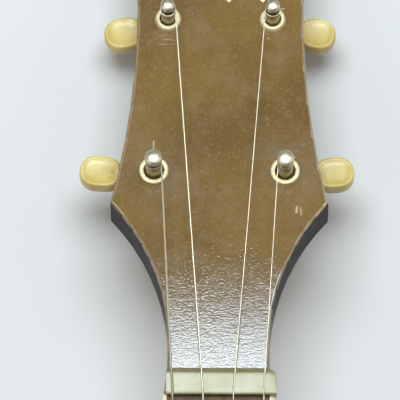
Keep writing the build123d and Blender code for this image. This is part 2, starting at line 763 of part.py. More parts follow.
def headstock_outline():
    """The headstock's outline as seen on its face, as a line to make a face from."""
    waist_centre_x = WAIST[0] + WAIST_R
    crest_x = waist_centre_x - math.sqrt(WAIST_R**2 - (CREST_V - WAIST[1]) ** 2)
    with BuildLine(Plane.XY) as outline:
        for side in (-1, 1):
            Line((side * HEADSTOCK_HALF, 0), (side * HEADSTOCK_HALF, 8))
            RadiusArc(
                (side * HEADSTOCK_HALF, 8), (side * SHOULDER[0], SHOULDER[1]), side * 66.0
            )
            ThreePointArc(
                (side * SHOULDER[0], SHOULDER[1]),
                (side * WAIST[0], WAIST[1]),
                (side * crest_x, CREST_V),
            )
            TangentArc(
                (side * crest_x, CREST_V),
                (side * CREST_EAR[0], CREST_EAR[1]),
                tangent=(side * (CREST_V - WAIST[1]), waist_centre_x - crest_x),
            )
        ThreePointArc((-CREST_EAR[0], CREST_EAR[1]), (0, TIP_V), CREST_EAR)
        Line((-HEADSTOCK_HALF, 0), (HEADSTOCK_HALF, 0))
    return outline.edges()


with BuildPart() as neck:
    with BuildSketch(FACE.offset(-HEADSTOCK_T)):
        make_face(headstock_outline())
    extrude(amount=HEADSTOCK_T)
    face_edges = neck.faces().sort_by(OUT_OF_FACE)[-1].edges()
    fillet(face_edges.filter_by(lambda e: e.center().Y > NUT_Y + NUT_L + 3), 0.8)
    back_edges = neck.faces().sort_by(OUT_OF_FACE)[0].edges()
    fillet(back_edges.filter_by(lambda e: e.center().Y > NUT_Y + NUT_L + 3), 1.2)
    # shaft of the neck, in three lofts: above the flare, the flare, and down to the pot
    for sections in (
        ((-NUT_L, 14.0, HEADSTOCK_HALF), (0, 14.0), (60, 14.4), (128, 15.2)),
        ((128, 15.2), (138, 15.6), (148, 16.0)),
        ((148, 16.0), (250, 17.2), (380, 18.6), (FRETBOARD_LENGTH + 12, 19.6, 25.6)),
    ):
        loft([neck_section(*section) for section in sections])
    heel_sections = (
        (HEEL_BASE, 12.0, 167.0),
        (18, 12.6, 168.5),
        (32, 15.0, 176.0),
        (42, 18.5, 190.0),
        (50, 22.0, 212.0),
        (56, 23.0, 228.0),
    )
    loft([heel_section(*section) for section in heel_sections])
    # the heel fits the rim below the hoops and stands clear of them above
    with BuildSketch(Plane.XY):
        Circle(RIM_R)
    extrude(amount=FLESH_HOOP_BASE - 0.3, mode=Mode.SUBTRACT)
    with BuildSketch(Plane.XY.offset(FLESH_HOOP_BASE - 0.3)):
        Circle(HOOP_R + 0.6)
    extrude(amount=40, mode=Mode.SUBTRACT)
    # nut seat, reinforcement channel, hanger bolt holes, fifth peg
    with BuildSketch(NECK.offset(-FRETBOARD_T)):
        with Locations((0, NUT_L / 2)):
            Rectangle(60, NUT_L)
    extrude(amount=20, mode=Mode.SUBTRACT)
    with BuildSketch(NECK.offset(-FRETBOARD_T - BAR_H)):
        with Locations((0, -(BAR_FROM + BAR_TO) / 2)):
            Rectangle(BAR_W, BAR_TO - BAR_FROM)
    extrude(amount=BAR_H + 1, mode=Mode.SUBTRACT)
    for height in ROD_HEIGHTS:
        rod(
            (0, RIM_R - 5, height), (0, HANGER_BOLT_END + 0.3, height), STUD_R + 0.05, Mode.SUBTRACT
        )
    rod(peg_point(-12.2), peg_point(9), 2.65, Mode.SUBTRACT)
    # post bores, with a wider seat at the face for each ferrule
    for plane in TUNER_PLANES.values():
        with BuildSketch(plane):
            Circle(POST_R + 0.3)
        extrude(amount=-HEADSTOCK_T - 1, mode=Mode.SUBTRACT)
        with BuildSketch(plane):
            Circle(4.0)
        extrude(amount=-6, mode=Mode.SUBTRACT)
    # pilot holes for the tuner plates' screws
    for number, plane in TUNER_PLANES.items():
        with BuildSketch(plane.offset(-HEADSTOCK_T + SCREW_L)):
            for x, y in SCREW_PLACES:
                with Locations((x, TUNERS[number][0] * y)):
                    Circle(SCREW_R)
        extrude(amount=-SCREW_L - 1, mode=Mode.SUBTRACT)
save(neck, "neck")

with BuildPart() as reinforcement_bar:
    with BuildSketch(NECK.offset(-FRETBOARD_T - BAR_H + 0.05)):
        with Locations((0, -(BAR_FROM + BAR_TO) / 2)):
            Rectangle(BAR_W - 0.1, BAR_TO - BAR_FROM - 0.4)
    extrude(amount=BAR_H - 0.1)
save(reinforcement_bar, "reinforcement_bar")

with BuildPart() as heel_cap:
    loft([heel_section(height, 12.0, 167.0) for height in (CAP_BASE, HEEL_BASE)])
    with BuildSketch(Plane.XY):
        Circle(RIM_R)
    extrude(amount=HEEL_BASE + 1, mode=Mode.SUBTRACT)
save(heel_cap, "heel_cap")

# ================================================================ fifth peg
PEG_FLANGE_FROM = 3.0
PEG_FLANGE_TO = 4.1
PEG_BUTTON_FROM = 13.0
with BuildPart() as fifth_peg_collar:
    rod(peg_point(-12), peg_point(PEG_FLANGE_FROM), 2.58)
    rod(peg_point(PEG_FLANGE_FROM), peg_point(PEG_FLANGE_TO), 3.8)
    rod(peg_point(-10.5), peg_point(8), 1.6 + RUN, Mode.SUBTRACT)
save(fifth_peg_collar, "fifth_peg_collar")

with BuildPart() as fifth_peg_shaft:
    rod(peg_point(-10.2), peg_point(PEG_FLANGE_TO + RUN), 1.6)
    rod(peg_point(PEG_FLANGE_TO + RUN), peg_point(7.0), 2.6)
    rod(peg_point(7.0), peg_point(11.0), PEG_GROOVE_R)
    rod(peg_point(11.0), peg_point(PEG_BUTTON_FROM), 2.6)
    rod(peg_point(PEG_BUTTON_FROM), peg_point(PEG_BUTTON_FROM + 8), 1.5)
save(fifth_peg_shaft, "fifth_peg_shaft")

with BuildPart() as fifth_peg_winding:
    rod(peg_point(8.2), peg_point(9.8), PEG_GROOVE_R + STRING_D[5])
    rod(peg_point(8), peg_point(10), PEG_GROOVE_R + 0.01, Mode.SUBTRACT)
save(fifth_peg_winding, "fifth_peg_winding")

BUTTON_T = 5.8
BUTTON_HALF_W = 5.1
BUTTON_HALF_L = 5.4
BUTTON_NECK = 6.3


def oval_button(plane, bore_r, bore_depth):
    """An oval paddle button centred on the plane's origin, its neck along the plane's -X."""
    with BuildPart() as button:
        with BuildSketch(plane.offset(-BUTTON_T / 2)):
            Ellipse(BUTTON_HALF_L, BUTTON_HALF_W)
            with BuildLine():
                Polyline(
                    (-BUTTON_NECK, -2.4),
                    (-BUTTON_NECK, 2.4),
                    (-2.6, 4.2),
                    (-2.6, -4.2),
                    close=True,
                )
            make_face()
        extrude(amount=BUTTON_T)
        through = Axis(plane.origin, plane.z_dir)
        fillet(button.edges().group_by(through)[0] + button.edges().group_by(through)[-1], 1.3)
        for direction in (1, -1):
            with BuildSketch(plane.offset(direction * BUTTON_T / 2)):
                Ellipse(BUTTON_HALF_L - 2.0, BUTTON_HALF_W - 1.9)
            extrude(amount=-direction * 0.45, mode=Mode.SUBTRACT)
        bore = plane.from_local_coords(Vector(-BUTTON_NECK - 1, 0, 0))
        rod(bore, bore + plane.x_dir * (bore_depth + 1), bore_r, Mode.SUBTRACT)
    return button


peg_button_plane = Plane(
    origin=peg_point(PEG_BUTTON_FROM + BUTTON_NECK),
    x_dir=peg_point(1) - peg_point(0),
    z_dir=NECK.y_dir,
)
save(oval_button(peg_button_plane, 1.53, 8.3), "fifth_peg_button")

# ================================================================ tuners
SHAFT_R = 1.5
LUG_IN = 5.0
LUG_T = 1.2
THREAD_HALF = 4.0
THREAD_ROOT_R = 1.1
THREAD_TIP_R = 2.25
THREAD_BASE = 0.8
THREAD_CREST = 0.26
TOOTH_BASE = 0.8
TOOTH_CREST = 0.24
GEAR_TOP = -WORM_DEPTH + GEAR_W / 2
GEAR_TIP_R = GEAR_PITCH_R + 0.22
GEAR_ROOT_R = GEAR_PITCH_R - 0.75
SPIGOT_R = 1.5
STOP_R = 2.4
STOP_T = 0.8
LUG_LOW = -WORM_DEPTH - 2.6


def tuner_frame(number):
    """A tuner's plane, the side its worm lies on in it, and its lever length."""
    return TUNER_PLANES[number], TUNERS[number][0], TUNERS[number][3]


def worm_plane(number):
    """A plane across the worm shaft at the post, its normal along the shaft outwards."""
    plane, side, lever = tuner_frame(number)
    origin = plane.from_local_coords(Vector(0, side * CENTRE_DISTANCE, -WORM_DEPTH))
    return Plane(origin=origin, x_dir=plane.y_dir * -side, z_dir=plane.x_dir)


with BuildPart() as tuner_ferrules:
    for number, plane in TUNER_PLANES.items():
        with BuildSketch(plane.offset(-5.9)):
            Circle(3.98)
        extrude(amount=5.9)
        with BuildSketch(plane):
            Circle(FERRULE_R[number])
        extrude(amount=1.1)
    flange_tops = tuner_ferrules.faces().filter_by(lambda f: f.area > 40).sort_by(OUT_OF_FACE)[-4:]
    fillet(flange_tops.edges().filter_by(GeomType.CIRCLE), 0.6)
    for plane in TUNER_PLANES.values():
        with BuildSketch(plane.offset(-7)):
            Circle(POST_R + RUN)
        extrude(amount=10, mode=Mode.SUBTRACT)
save(tuner_ferrules, "tuner_ferrules")

with BuildPart() as tuner_plates:
    for number in TUNERS:
        plane, side, lever = tuner_frame(number)
        back = plane.offset(-HEADSTOCK_T - PLATE_T)
        with BuildSketch(back):
            with Locations((-3.0, side * 1.4)):
                RectangleRounded(20.4, 17.6, 2.5)
            Circle(POST_R + 0.12, mode=Mode.SUBTRACT)
            for x, y in SCREW_PLACES:
                with Locations((x, side * y)):
                    Circle(SCREW_R + 0.1, mode=Mode.SUBTRACT)
        extrude(amount=PLATE_T)
        for x in (-LUG_IN - LUG_T, LUG_IN):
            with BuildSketch(plane.offset(LUG_LOW)):
                with Locations((x + LUG_T / 2, side * CENTRE_DISTANCE)):
                    Rectangle(LUG_T, 6.4)
            extrude(amount=-HEADSTOCK_T - PLATE_T - LUG_LOW)
        worm = worm_plane(number)
        rod(
            worm.from_local_coords(Vector(0, 0, -12)),
            worm.from_local_coords(Vector(0, 0, 12)),
            SHAFT_R + RUN,
            Mode.SUBTRACT,
        )
save(tuner_plates, "tuner_plates")

with BuildPart() as tuner_screws:
    for number in TUNERS:
        plane, side, lever = tuner_frame(number)
        for x, y in SCREW_PLACES:
            top = plane.from_local_coords(Vector(x, side * y, -HEADSTOCK_T + SCREW_L))
            head = plane.from_local_coords(Vector(x, side * y, -HEADSTOCK_T - PLATE_T))
            low = plane.from_local_coords(Vector(x, side * y, -HEADSTOCK_T - PLATE_T - 1.1))
            rod(head, top, SCREW_R)
            rod(low, head, 2.2)
save(tuner_screws, "tuner_screws")


def worm_thread(number):
    """The worm thread's root line, a helix about the worm shaft."""
    across = worm_plane(number)
    start = across.offset(-THREAD_HALF).origin
    with BuildLine() as thread_line:
        Helix(WORM_LEAD, 2 * THREAD_HALF, THREAD_ROOT_R, start, across.z_dir)
    return thread_line.wires()[0]


def tooth_angle(number):
    """The angle about the post, from towards the worm, that sets a tooth between threads."""
    side = TUNERS[number][0]
    start = worm_plane(number).to_local_coords(worm_thread(number) @ 0)
    turned = math.atan2(start.Y, start.X) / (2 * math.pi)
    gap = -THREAD_HALF + WORM_LEAD * (0.5 - turned)
    gap -= WORM_LEAD * round(gap / WORM_LEAD)
    return -side * math.degrees(gap / GEAR_PITCH_R)


def worm_shaft(number):
    """Shaft, worm and stop collar, turning in the plate's two lugs."""
    lever = TUNERS[number][3]
    across = worm_plane(number)
    thread = worm_thread(number)
    radial = (thread @ 0 - across.offset(-THREAD_HALF).origin).normalized()
    with BuildPart() as shaft:
        with BuildSketch(Plane(origin=thread @ 0, x_dir=radial, z_dir=thread % 0)):
            with BuildLine():
                Polyline(
                    (0, -THREAD_BASE / 2),
                    (THREAD_TIP_R - THREAD_ROOT_R, -THREAD_CREST / 2),
                    (THREAD_TIP_R - THREAD_ROOT_R, THREAD_CREST / 2),
                    (0, THREAD_BASE / 2),
                    close=True,
                )
            make_face()
        sweep(path=thread, is_frenet=True)
        with BuildSketch(across.offset(-LUG_IN - LUG_T - 0.9)):
            Circle(SHAFT_R)
        extrude(amount=LUG_IN + LUG_T + 0.9 + lever + 1.6)
        with BuildSketch(across.offset(LUG_IN + LUG_T + 0.15)):
            Circle(STOP_R)
        extrude(amount=STOP_T)
    return shaft


def post_and_winding(number):
    """String post, turning in the ferrule and the plate, with the string wound on it."""
    plane, side, lever = tuner_frame(number)
    string_d = STRING_D[TUNERS[number][5]]
    profile = Plane(origin=plane.origin, x_dir=plane.x_dir, z_dir=-plane.y_dir)
    dome_r = (POST_CAP_R**2 + POST_DOME**2) / (2 * POST_DOME)
    dome_half = math.asin(POST_CAP_R / dome_r) / 2
    with BuildPart() as post:
        with BuildSketch(profile):
            with BuildLine():
                Polyline(
                    (0, -WORM_DEPTH),
                    (SPIGOT_R, -WORM_DEPTH),
                    (SPIGOT_R, GEAR_TOP),
                    (POST_R, GEAR_TOP),
                    (POST_R, 0.3),
                    (BARREL_R, 0.9),
                    (BARREL_R, 6.0),
                    (WAIST_POST_R, 6.4),
                    (WAIST_POST_R, 9.2),
                    (POST_CAP_R, 9.8),
                    (POST_CAP_R, POST_TOP - POST_DOME),
                )
                ThreePointArc(
                    (POST_CAP_R, POST_TOP - POST_DOME),
                    (dome_r * math.sin(dome_half), POST_TOP - dome_r * (1 - math.cos(dome_half))),
                    (0, POST_TOP),
                )
                Line((0, POST_TOP), (0, -WORM_DEPTH))
            make_face()
        revolve(axis=Axis(profile.origin, profile.y_dir))
        with BuildSketch(plane.offset(-WORM_DEPTH)):
            Circle(0.95)
        extrude(amount=5, mode=Mode.SUBTRACT)
        rod(
            plane.from_local_coords(Vector(-4, 0, STRING_HOLE_H)),
            plane.from_local_coords(Vector(4, 0, STRING_HOLE_H)),
            STRING_HOLE_R,
            Mode.SUBTRACT,
        )
        with BuildSketch(plane.offset(WRAP_H - 2.5 * string_d)):
            Circle(WAIST_POST_R + string_d)
            Circle(WAIST_POST_R + 0.01, mode=Mode.SUBTRACT)
        extrude(amount=3 * string_d)
    return post


def wheel_and_screw(number):
    """Worm wheel on the post's lower end, and the screw that holds it there."""
    plane, side, lever = tuner_frame(number)
    with BuildPart() as gear:
        with BuildSketch(plane.offset(GEAR_TOP - GEAR_W)):
            Circle(GEAR_ROOT_R)
            with PolarLocations(0, TEETH, start_angle=side * 90 + tooth_angle(number)):
                Polygon(
                    (GEAR_ROOT_R - 0.3, -TOOTH_BASE / 2),
                    (GEAR_TIP_R, -TOOTH_CREST / 2),
                    (GEAR_TIP_R, TOOTH_CREST / 2),
                    (GEAR_ROOT_R - 0.3, TOOTH_BASE / 2),
                    align=None,
                )
            Circle(SPIGOT_R + 0.03, mode=Mode.SUBTRACT)
        extrude(amount=GEAR_W)
        with BuildSketch(plane.offset(-WORM_DEPTH)):
            Circle(0.9)
        extrude(amount=4.6)
        with BuildSketch(plane.offset(GEAR_TOP - GEAR_W - 1.2)):
            Circle(2.3)
        extrude(amount=1.2)
        with BuildSketch(plane.offset(GEAR_TOP - GEAR_W)):
            Circle(0.9)
        extrude(amount=2)
    return gear


for number in TUNERS:
    plane, side, lever = tuner_frame(number)
    save(worm_shaft(number), f"tuner_{number}_worm_shaft")
    button_plane = Plane(
        origin=plane.from_local_coords(Vector(lever, side * CENTRE_DISTANCE, -WORM_DEPTH)),
        x_dir=plane.x_dir,
        z_dir=plane.z_dir,
    )
    save(oval_button(button_plane, SHAFT_R + 0.03, BUTTON_NECK + 1.9), f"tuner_{number}_button")
    save(post_and_winding(number), f"tuner_{number}_post")
    save(wheel_and_screw(number), f"tuner_{number}_gear")
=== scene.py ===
"""Looks for the five-string banjo: every piece's finish, and finer tuners, nut and strings.

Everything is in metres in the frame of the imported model: +Y runs along the neck to the
headstock, +X is the treble side and +Z comes out of the head. Shapes are written in millimetres
about a tuner, the neck or the headstock's face, and brought to metres by MM.
"""

import json
import math

import bmesh
import bpy
from mathutils import Matrix, Vector


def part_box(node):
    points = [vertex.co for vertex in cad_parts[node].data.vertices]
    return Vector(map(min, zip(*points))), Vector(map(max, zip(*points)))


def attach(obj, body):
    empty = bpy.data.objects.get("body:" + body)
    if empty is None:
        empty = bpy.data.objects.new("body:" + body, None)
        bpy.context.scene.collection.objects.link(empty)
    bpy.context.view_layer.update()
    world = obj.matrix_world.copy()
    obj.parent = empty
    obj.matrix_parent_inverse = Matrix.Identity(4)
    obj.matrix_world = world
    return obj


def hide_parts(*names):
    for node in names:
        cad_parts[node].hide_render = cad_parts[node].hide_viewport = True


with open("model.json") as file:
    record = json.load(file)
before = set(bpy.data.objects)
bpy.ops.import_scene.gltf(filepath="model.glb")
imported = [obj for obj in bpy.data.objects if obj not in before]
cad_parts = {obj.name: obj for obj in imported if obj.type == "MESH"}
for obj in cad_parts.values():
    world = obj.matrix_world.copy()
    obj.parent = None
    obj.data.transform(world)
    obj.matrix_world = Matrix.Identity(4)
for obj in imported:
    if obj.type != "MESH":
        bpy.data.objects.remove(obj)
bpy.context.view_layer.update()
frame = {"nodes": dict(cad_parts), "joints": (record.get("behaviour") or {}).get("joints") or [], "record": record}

MM = 0.001
NODES = frame["nodes"]
JOINTS = {joint["name"]: joint for joint in frame["joints"]}
SLOT_OF = {part["node"]: part["material_slot"] for part in frame["record"]["subparts"]}
TUNERS = (1, 2, 3, 4)
LOWER_TUNERS = (1, 4)
UPPER_TUNERS = (2, 3)


# ------------------------------------------------------------------ shader helpers
def srgb(red, green, blue):
    """A colour given as the eye sees it, 0 to 255, as the linear colour shaders use."""
    def linear(value):
        value /= 255
        return value / 12.92 if value <= 0.04045 else ((value + 0.055) / 1.055) ** 2.4

    return (linear(red), linear(green), linear(blue), 1.0)


class Shader:
    """A Principled material and the few node calls that the finishes below are made of."""

    def __init__(self, name, **settings):
        self.material = bpy.data.materials.new(name)
        self.material.use_nodes = True
        self.tree = self.material.node_tree
        self.surface = self.tree.nodes["Principled BSDF"]
        for socket, value in settings.items():
            self.surface.inputs[socket.replace("_", " ")].default_value = value
        self.places = self.node("ShaderNodeTexCoord").outputs["Object"]

    def node(self, kind, inputs=None, **settings):
        made = self.tree.nodes.new(kind)
        for name, value in settings.items():
            setattr(made, name, value)
        for name, value in (inputs or {}).items():
            socket = made.inputs[name]
            if isinstance(value, bpy.types.NodeSocket):
                self.tree.links.new(value, socket)
            else:
                socket.default_value = value
        return made

    def stretched(self, x=1.0, y=1.0, z=1.0):
        """Object places scaled along each axis."""
        return self.node(
            "ShaderNodeMapping", {"Vector": self.places, "Scale": (x, y, z)}
        ).outputs["Vector"]

    def noise(self, scale, detail=3.0, roughness=0.55, where=None, distortion=0.0):
        return self.node(
            "ShaderNodeTexNoise",
            {
                "Vector": where or self.places,
                "Scale": scale,
                "Detail": detail,
                "Roughness": roughness,
                "Distortion": distortion,
            },
        ).outputs["Fac"]

    def spots(self, scale):
        return self.node("ShaderNodeTexVoronoi", {"Vector": self.places, "Scale": scale})

    def ramp(self, value, *stops):
        """A colour or grey from a value, through (place, colour) stops."""
        made = self.node("ShaderNodeValToRGB", {"Fac": value})
        while len(made.color_ramp.elements) < len(stops):
            made.color_ramp.elements.new(0.5)
        for element, (place, colour) in zip(made.color_ramp.elements, stops):
            element.position = place
            element.color = colour if hasattr(colour, "__len__") else (colour,) * 3 + (1.0,)
        return made.outputs["Color"]

    def mix(self, amount, first, second, mode="MIX"):
        made = self.node("ShaderNodeMix", data_type="RGBA", blend_type=mode)
        for name, value in (("Factor_Float", amount), ("A_Color", first), ("B_Color", second)):
            socket = next(s for s in made.inputs if s.identifier == name)
            if isinstance(value, bpy.types.NodeSocket):
                self.tree.links.new(value, socket)
            else:
                socket.default_value = value
        return next(s for s in made.outputs if s.identifier == "Result_Color")

    def math(self, operation, first, second=0.0):
        made = self.node("ShaderNodeMath", operation=operation)
        for index, value in enumerate((first, second)):
            if isinstance(value, bpy.types.NodeSocket):
                self.tree.links.new(value, made.inputs[index])
            else:
                made.inputs[index].default_value = value
        return made.outputs["Value"]

    def span(self, value, low, high, to_low=0.0, to_high=1.0):
        """The value mapped smoothly from low..high to to_low..to_high, and held outside."""
        return self.node(
            "ShaderNodeMapRange",
            {
                "Value": value,
                "From Min": low,
                "From Max": high,
                "To Min": to_low,
                "To Max": to_high,
            },
            interpolation_type="SMOOTHSTEP",
        ).outputs["Result"]

    def part(self, vector, axis):
        return self.node("ShaderNodeSeparateXYZ", {"Vector": vector}).outputs[axis]

    def distance_to(self, point):
        return self.node(
            "ShaderNodeVectorMath", {0: self.places, 1: point}, operation="DISTANCE"
        ).outputs["Value"]

    def off_from(self, point):
        """Object places measured from a point."""
        return self.node(
            "ShaderNodeVectorMath", {0: self.places, 1: point}, operation="SUBTRACT"
        ).outputs["Vector"]

    def dot(self, vector, axis):
        return self.node(
            "ShaderNodeVectorMath", {0: vector, 1: axis}, operation="DOT_PRODUCT"
        ).outputs["Value"]

    def set(self, socket, value):
        self.tree.links.new(value, self.surface.inputs[socket])

    def bump(self, height, depth, under=None):
        """Relief of the given depth in metres, over the relief under it."""
        made = self.node(
            "ShaderNodeBump", {"Height": height, "Distance": depth, "Strength": 1.0}
        )
        if under is not None:
            self.tree.links.new(under, made.inputs["Normal"])
        return made.outputs["Normal"]


# ------------------------------------------------------------------ places on the frame
def tuner_place(number):
    """Axes at a tuner post: X out along its shaft, Z out of the headstock's face."""
    post = JOINTS[f"tuner_{number}_wind"]
    along = Vector(JOINTS[f"tuner_{number}_turn"]["axis"]).normalized()
    up = Vector(post["axis"]).normalized()
    across = up.cross(along)
    place = Matrix((along, across, up)).transposed().to_4x4()
    place.translation = Vector(post["pos_m"])
    return place


FACE_UP = Vector(JOINTS["tuner_1_wind"]["axis"]).normalized()
FACE_ALONG = FACE_UP.cross(Vector((1, 0, 0))).normalized()
NUT_LOW, NUT_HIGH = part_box("nut")
NUT_BACK = NUT_HIGH.y
FACE_POINT = Vector(JOINTS["tuner_1_wind"]["pos_m"])


def on_face(x, along, above=0.0):
    """A point over the headstock's face: across, along from the nut's back, and above it."""
    base = Vector((0, NUT_BACK, 0))
    base.z = FACE_POINT.z - (NUT_BACK - FACE_POINT.y) * FACE_UP.y / FACE_UP.z
    return base + Vector((x, 0, 0)) + FACE_ALONG * along + FACE_UP * above


NECK_PITCH = math.radians(1.2)
NECK_UP = Vector((0, math.sin(NECK_PITCH), math.cos(NECK_PITCH)))
NECK_ALONG = Vector((0, math.cos(NECK_PITCH), -math.sin(NECK_PITCH)))
NUT_SEAT = 6.0
NUT_CREST = (0.5, 2.5)
NECK_ORIGIN = Vector((
    0,
    NUT_LOW.y + NUT_SEAT * MM * math.sin(NECK_PITCH),
    NUT_HIGH.z + MM * (NUT_CREST[0] * math.sin(NECK_PITCH) - NUT_CREST[1] * math.cos(NECK_PITCH)),
))


def neck_place(x, along, above):
    """A point in the neck's own axes, in mm: along from the nut's front, above the fretboard."""
    return NECK_ORIGIN + Vector((x * MM, 0, 0)) + NECK_ALONG * along * MM + NECK_UP * above * MM


# ------------------------------------------------------------------ finishes
LACQUER_DARK = srgb(105, 78, 31)
LACQUER_MID = srgb(124, 95, 41)
LACQUER_WALL = srgb(26, 17, 9)
LACQUER_PALE = srgb(150, 122, 80)
# pale chip colour, also used for the painted highlight along the face's edge
LACQUER_CHIP_AND_HIGHLIGHT = srgb(206, 186, 150)
# Marks on the face, in mm and radians: across and along from the nut's back, half length, lean,
# half width, and how strongly each one shows. The last two are slivers off the treble side.
SCRATCHES = (
    (-16.2, 104.6, 3.3, 0.05, 0.13, 0.38),
    (-15.4, 106.1, 2.6, -0.1, 0.13, 0.38),
    (-17.4, 107.4, 1.8, 0.16, 0.13, 0.38),
    (-5.2, 28.0, 1.1, 0.9, 0.13, 0.38),
    (23.3, 50.9, 1.35, 1.5, 0.42, 0.75),
    (24.6, 50.4, 1.6, 1.66, 0.42, 0.4),
)


def neck_lacquer():
    """Brown lacquer, an orange-peel film with dust specks, and a pale line along its edges that is part wear and
    part painted highlight.
    """
    s = Shader("neck_lacquer", Roughness=0.6, Coat_Roughness=0.025)
    s.surface.inputs["Specular IOR Level"].default_value = 0.12
    s.surface.inputs["Coat IOR"].default_value = 1.75
    blotches = s.noise(38, 4, 0.6)
    grain = s.noise(1.0, 5, 0.6, s.stretched(420, 26, 420))
    colour = s.mix(s.span(blotches, 0.3, 0.7), LACQUER_DARK, LACQUER_MID)
    colour = s.mix(s.span(grain, 0.35, 0.75, 0.0, 0.16), colour, srgb(96, 68, 34))
    fine = s.noise(900, 2, 0.5)
    colour = s.mix(s.span(fine, 0.5, 0.8, 0.0, 0.3), colour, LACQUER_PALE)
    haze = s.span(s.noise(95, 5, 0.7), 0.46, 0.72, 0.0, 0.42)
    colour = s.mix(haze, colour, srgb(140, 114, 88))
    # a painted soft reflection greys the lacquer round the lower posts
    for number in LOWER_TUNERS:
        near = s.distance_to(Vector(JOINTS[f"tuner_{number}_wind"]["pos_m"]))
        cloudy = s.span(s.noise(130, 4, 0.7), 0.35, 0.6)
        post_reflection = s.math("MULTIPLY", s.span(near, 17 * MM, 5 * MM), cloudy)
        colour = s.mix(s.math("MULTIPLY", post_reflection, 0.5), colour, srgb(124, 108, 86))
    # and it is painted greyer towards the nut
    y = s.part(s.places, "Y")
    greyed = s.math(
        "MULTIPLY",
        s.span(y, NUT_BACK + 40 * MM, NUT_BACK + 4 * MM, 0.0, 0.8),
        s.span(y, NUT_BACK - 6 * MM, NUT_BACK),
    )
    colour = s.mix(greyed, colour, srgb(108, 102, 88))
    specks = s.spots(620)
    rare = s.span(s.part(specks.outputs["Color"], "X"), 0.62, 0.64)
    dust = s.math("MULTIPLY", s.span(specks.outputs["Distance"], 0.3, 0.1), rare)
    flecks = s.span(s.noise(1500, 4, 0.75), 0.6, 0.69)
    dust = s.math("MAXIMUM", s.math("MULTIPLY", dust, 0.22), s.math("MULTIPLY", flecks, 0.55))
    colour = s.mix(dust, colour, srgb(172, 150, 114))
    # the headstock's side walls are near black, and dull
    facing = s.dot(s.node("ShaderNodeNewGeometry").outputs["True Normal"], FACE_UP)
    past_nut = s.span(y, NUT_BACK - 4 * MM, NUT_BACK + 22 * MM)
    wall = s.math("MULTIPLY", s.span(s.math("ABSOLUTE", facing), 0.66, 0.4), past_nut)
    colour = s.mix(wall, colour, LACQUER_WALL)
    # the edge round the face gets a paler line: partly rubbed-through wear, partly a painted highlight on its
    # rounded edge
    edge = s.math("MULTIPLY", s.span(facing, 0.5, 0.7), s.span(facing, 0.97, 0.88))
    beyond_nut = s.span(y, NUT_BACK + 2 * MM, NUT_BACK + 6 * MM)
    worn = s.span(s.noise(160, 3, 0.6), 0.3, 0.55, 0.7, 1.0)
    edge = s.math("MULTIPLY", s.math("MULTIPLY", edge, beyond_nut), worn)
    colour = s.mix(s.math("MULTIPLY", edge, 0.32), colour, LACQUER_CHIP_AND_HIGHLIGHT)
    for x, along, long, lean, wide, shows in SCRATCHES:
        ahead = (Vector((1, 0, 0)) * math.cos(lean) + FACE_ALONG * math.sin(lean)).normalized()
        off = s.off_from(on_face(x * MM, along * MM))
        lengthwise = s.math("ABSOLUTE", s.dot(off, ahead))
        sideways = s.math("ABSOLUTE", s.dot(off, FACE_UP.cross(ahead)))
        line = s.math(
            "MULTIPLY",
            s.span(sideways, wide * MM, 0.4 * wide * MM),
            s.span(lengthwise, long * MM, 0.7 * long * MM),
        )
        colour = s.mix(s.math("MULTIPLY", line, shows), colour, LACQUER_CHIP_AND_HIGHLIGHT)
    s.set("Base Color", colour)
    s.set("Coat Weight", s.math("SUBTRACT", 1.0, s.math("MULTIPLY", wall, 0.95)))
    peel = s.noise(1.0, 2, 0.5, s.stretched(1100, 2000, 1500))
    ripple = s.noise(1.0, 2, 0.5, s.stretched(180, 330, 250))
    rough = s.bump(peel, 1.05e-5)
    s.set("Coat Normal", s.bump(ripple, 6e-6, under=rough))
    s.set("Normal", s.bump(fine, 6e-6, under=rough))
    return s.material


def wood(name, dark, pale, along, roughness, coat=0.0):
    """Straight-grained wood: pores and bands stretched along one axis."""
    s = Shader(name, Roughness=roughness, Coat_Weight=coat, Coat_Roughness=0.12)
    s.surface.inputs["Specular IOR Level"].default_value = 0.25
    stretch = [260, 260, 260]
    stretch["XYZ".index(along)] = 9
    pores_stretch = [900, 900, 900]
    pores_stretch["XYZ".index(along)] = 45
    bands = s.noise(1.0, 5, 0.6, s.stretched(*stretch), 0.6)
    pores = s.noise(1.0, 3, 0.6, s.stretched(*pores_stretch))
    colour = s.mix(s.span(bands, 0.3, 0.72), dark, pale)
    pore = s.span(pores, 0.36, 0.26)
    shade = tuple(0.45 * c for c in dark[:3]) + (1.0,)
    colour = s.mix(s.math("MULTIPLY", pore, 0.7), colour, shade)
    wear = s.span(s.noise(22, 3), 0.45, 0.75, 0.0, 0.25)
    colour = s.mix(wear, colour, pale)
    s.set("Base Color", colour)
    s.set("Roughness", s.span(bands, 0.2, 0.8, roughness - 0.08, roughness + 0.1))
    s.set("Normal", s.bump(s.math("SUBTRACT", bands, pore), 3e-5))
    return s.material


PLY = 3.5 * MM


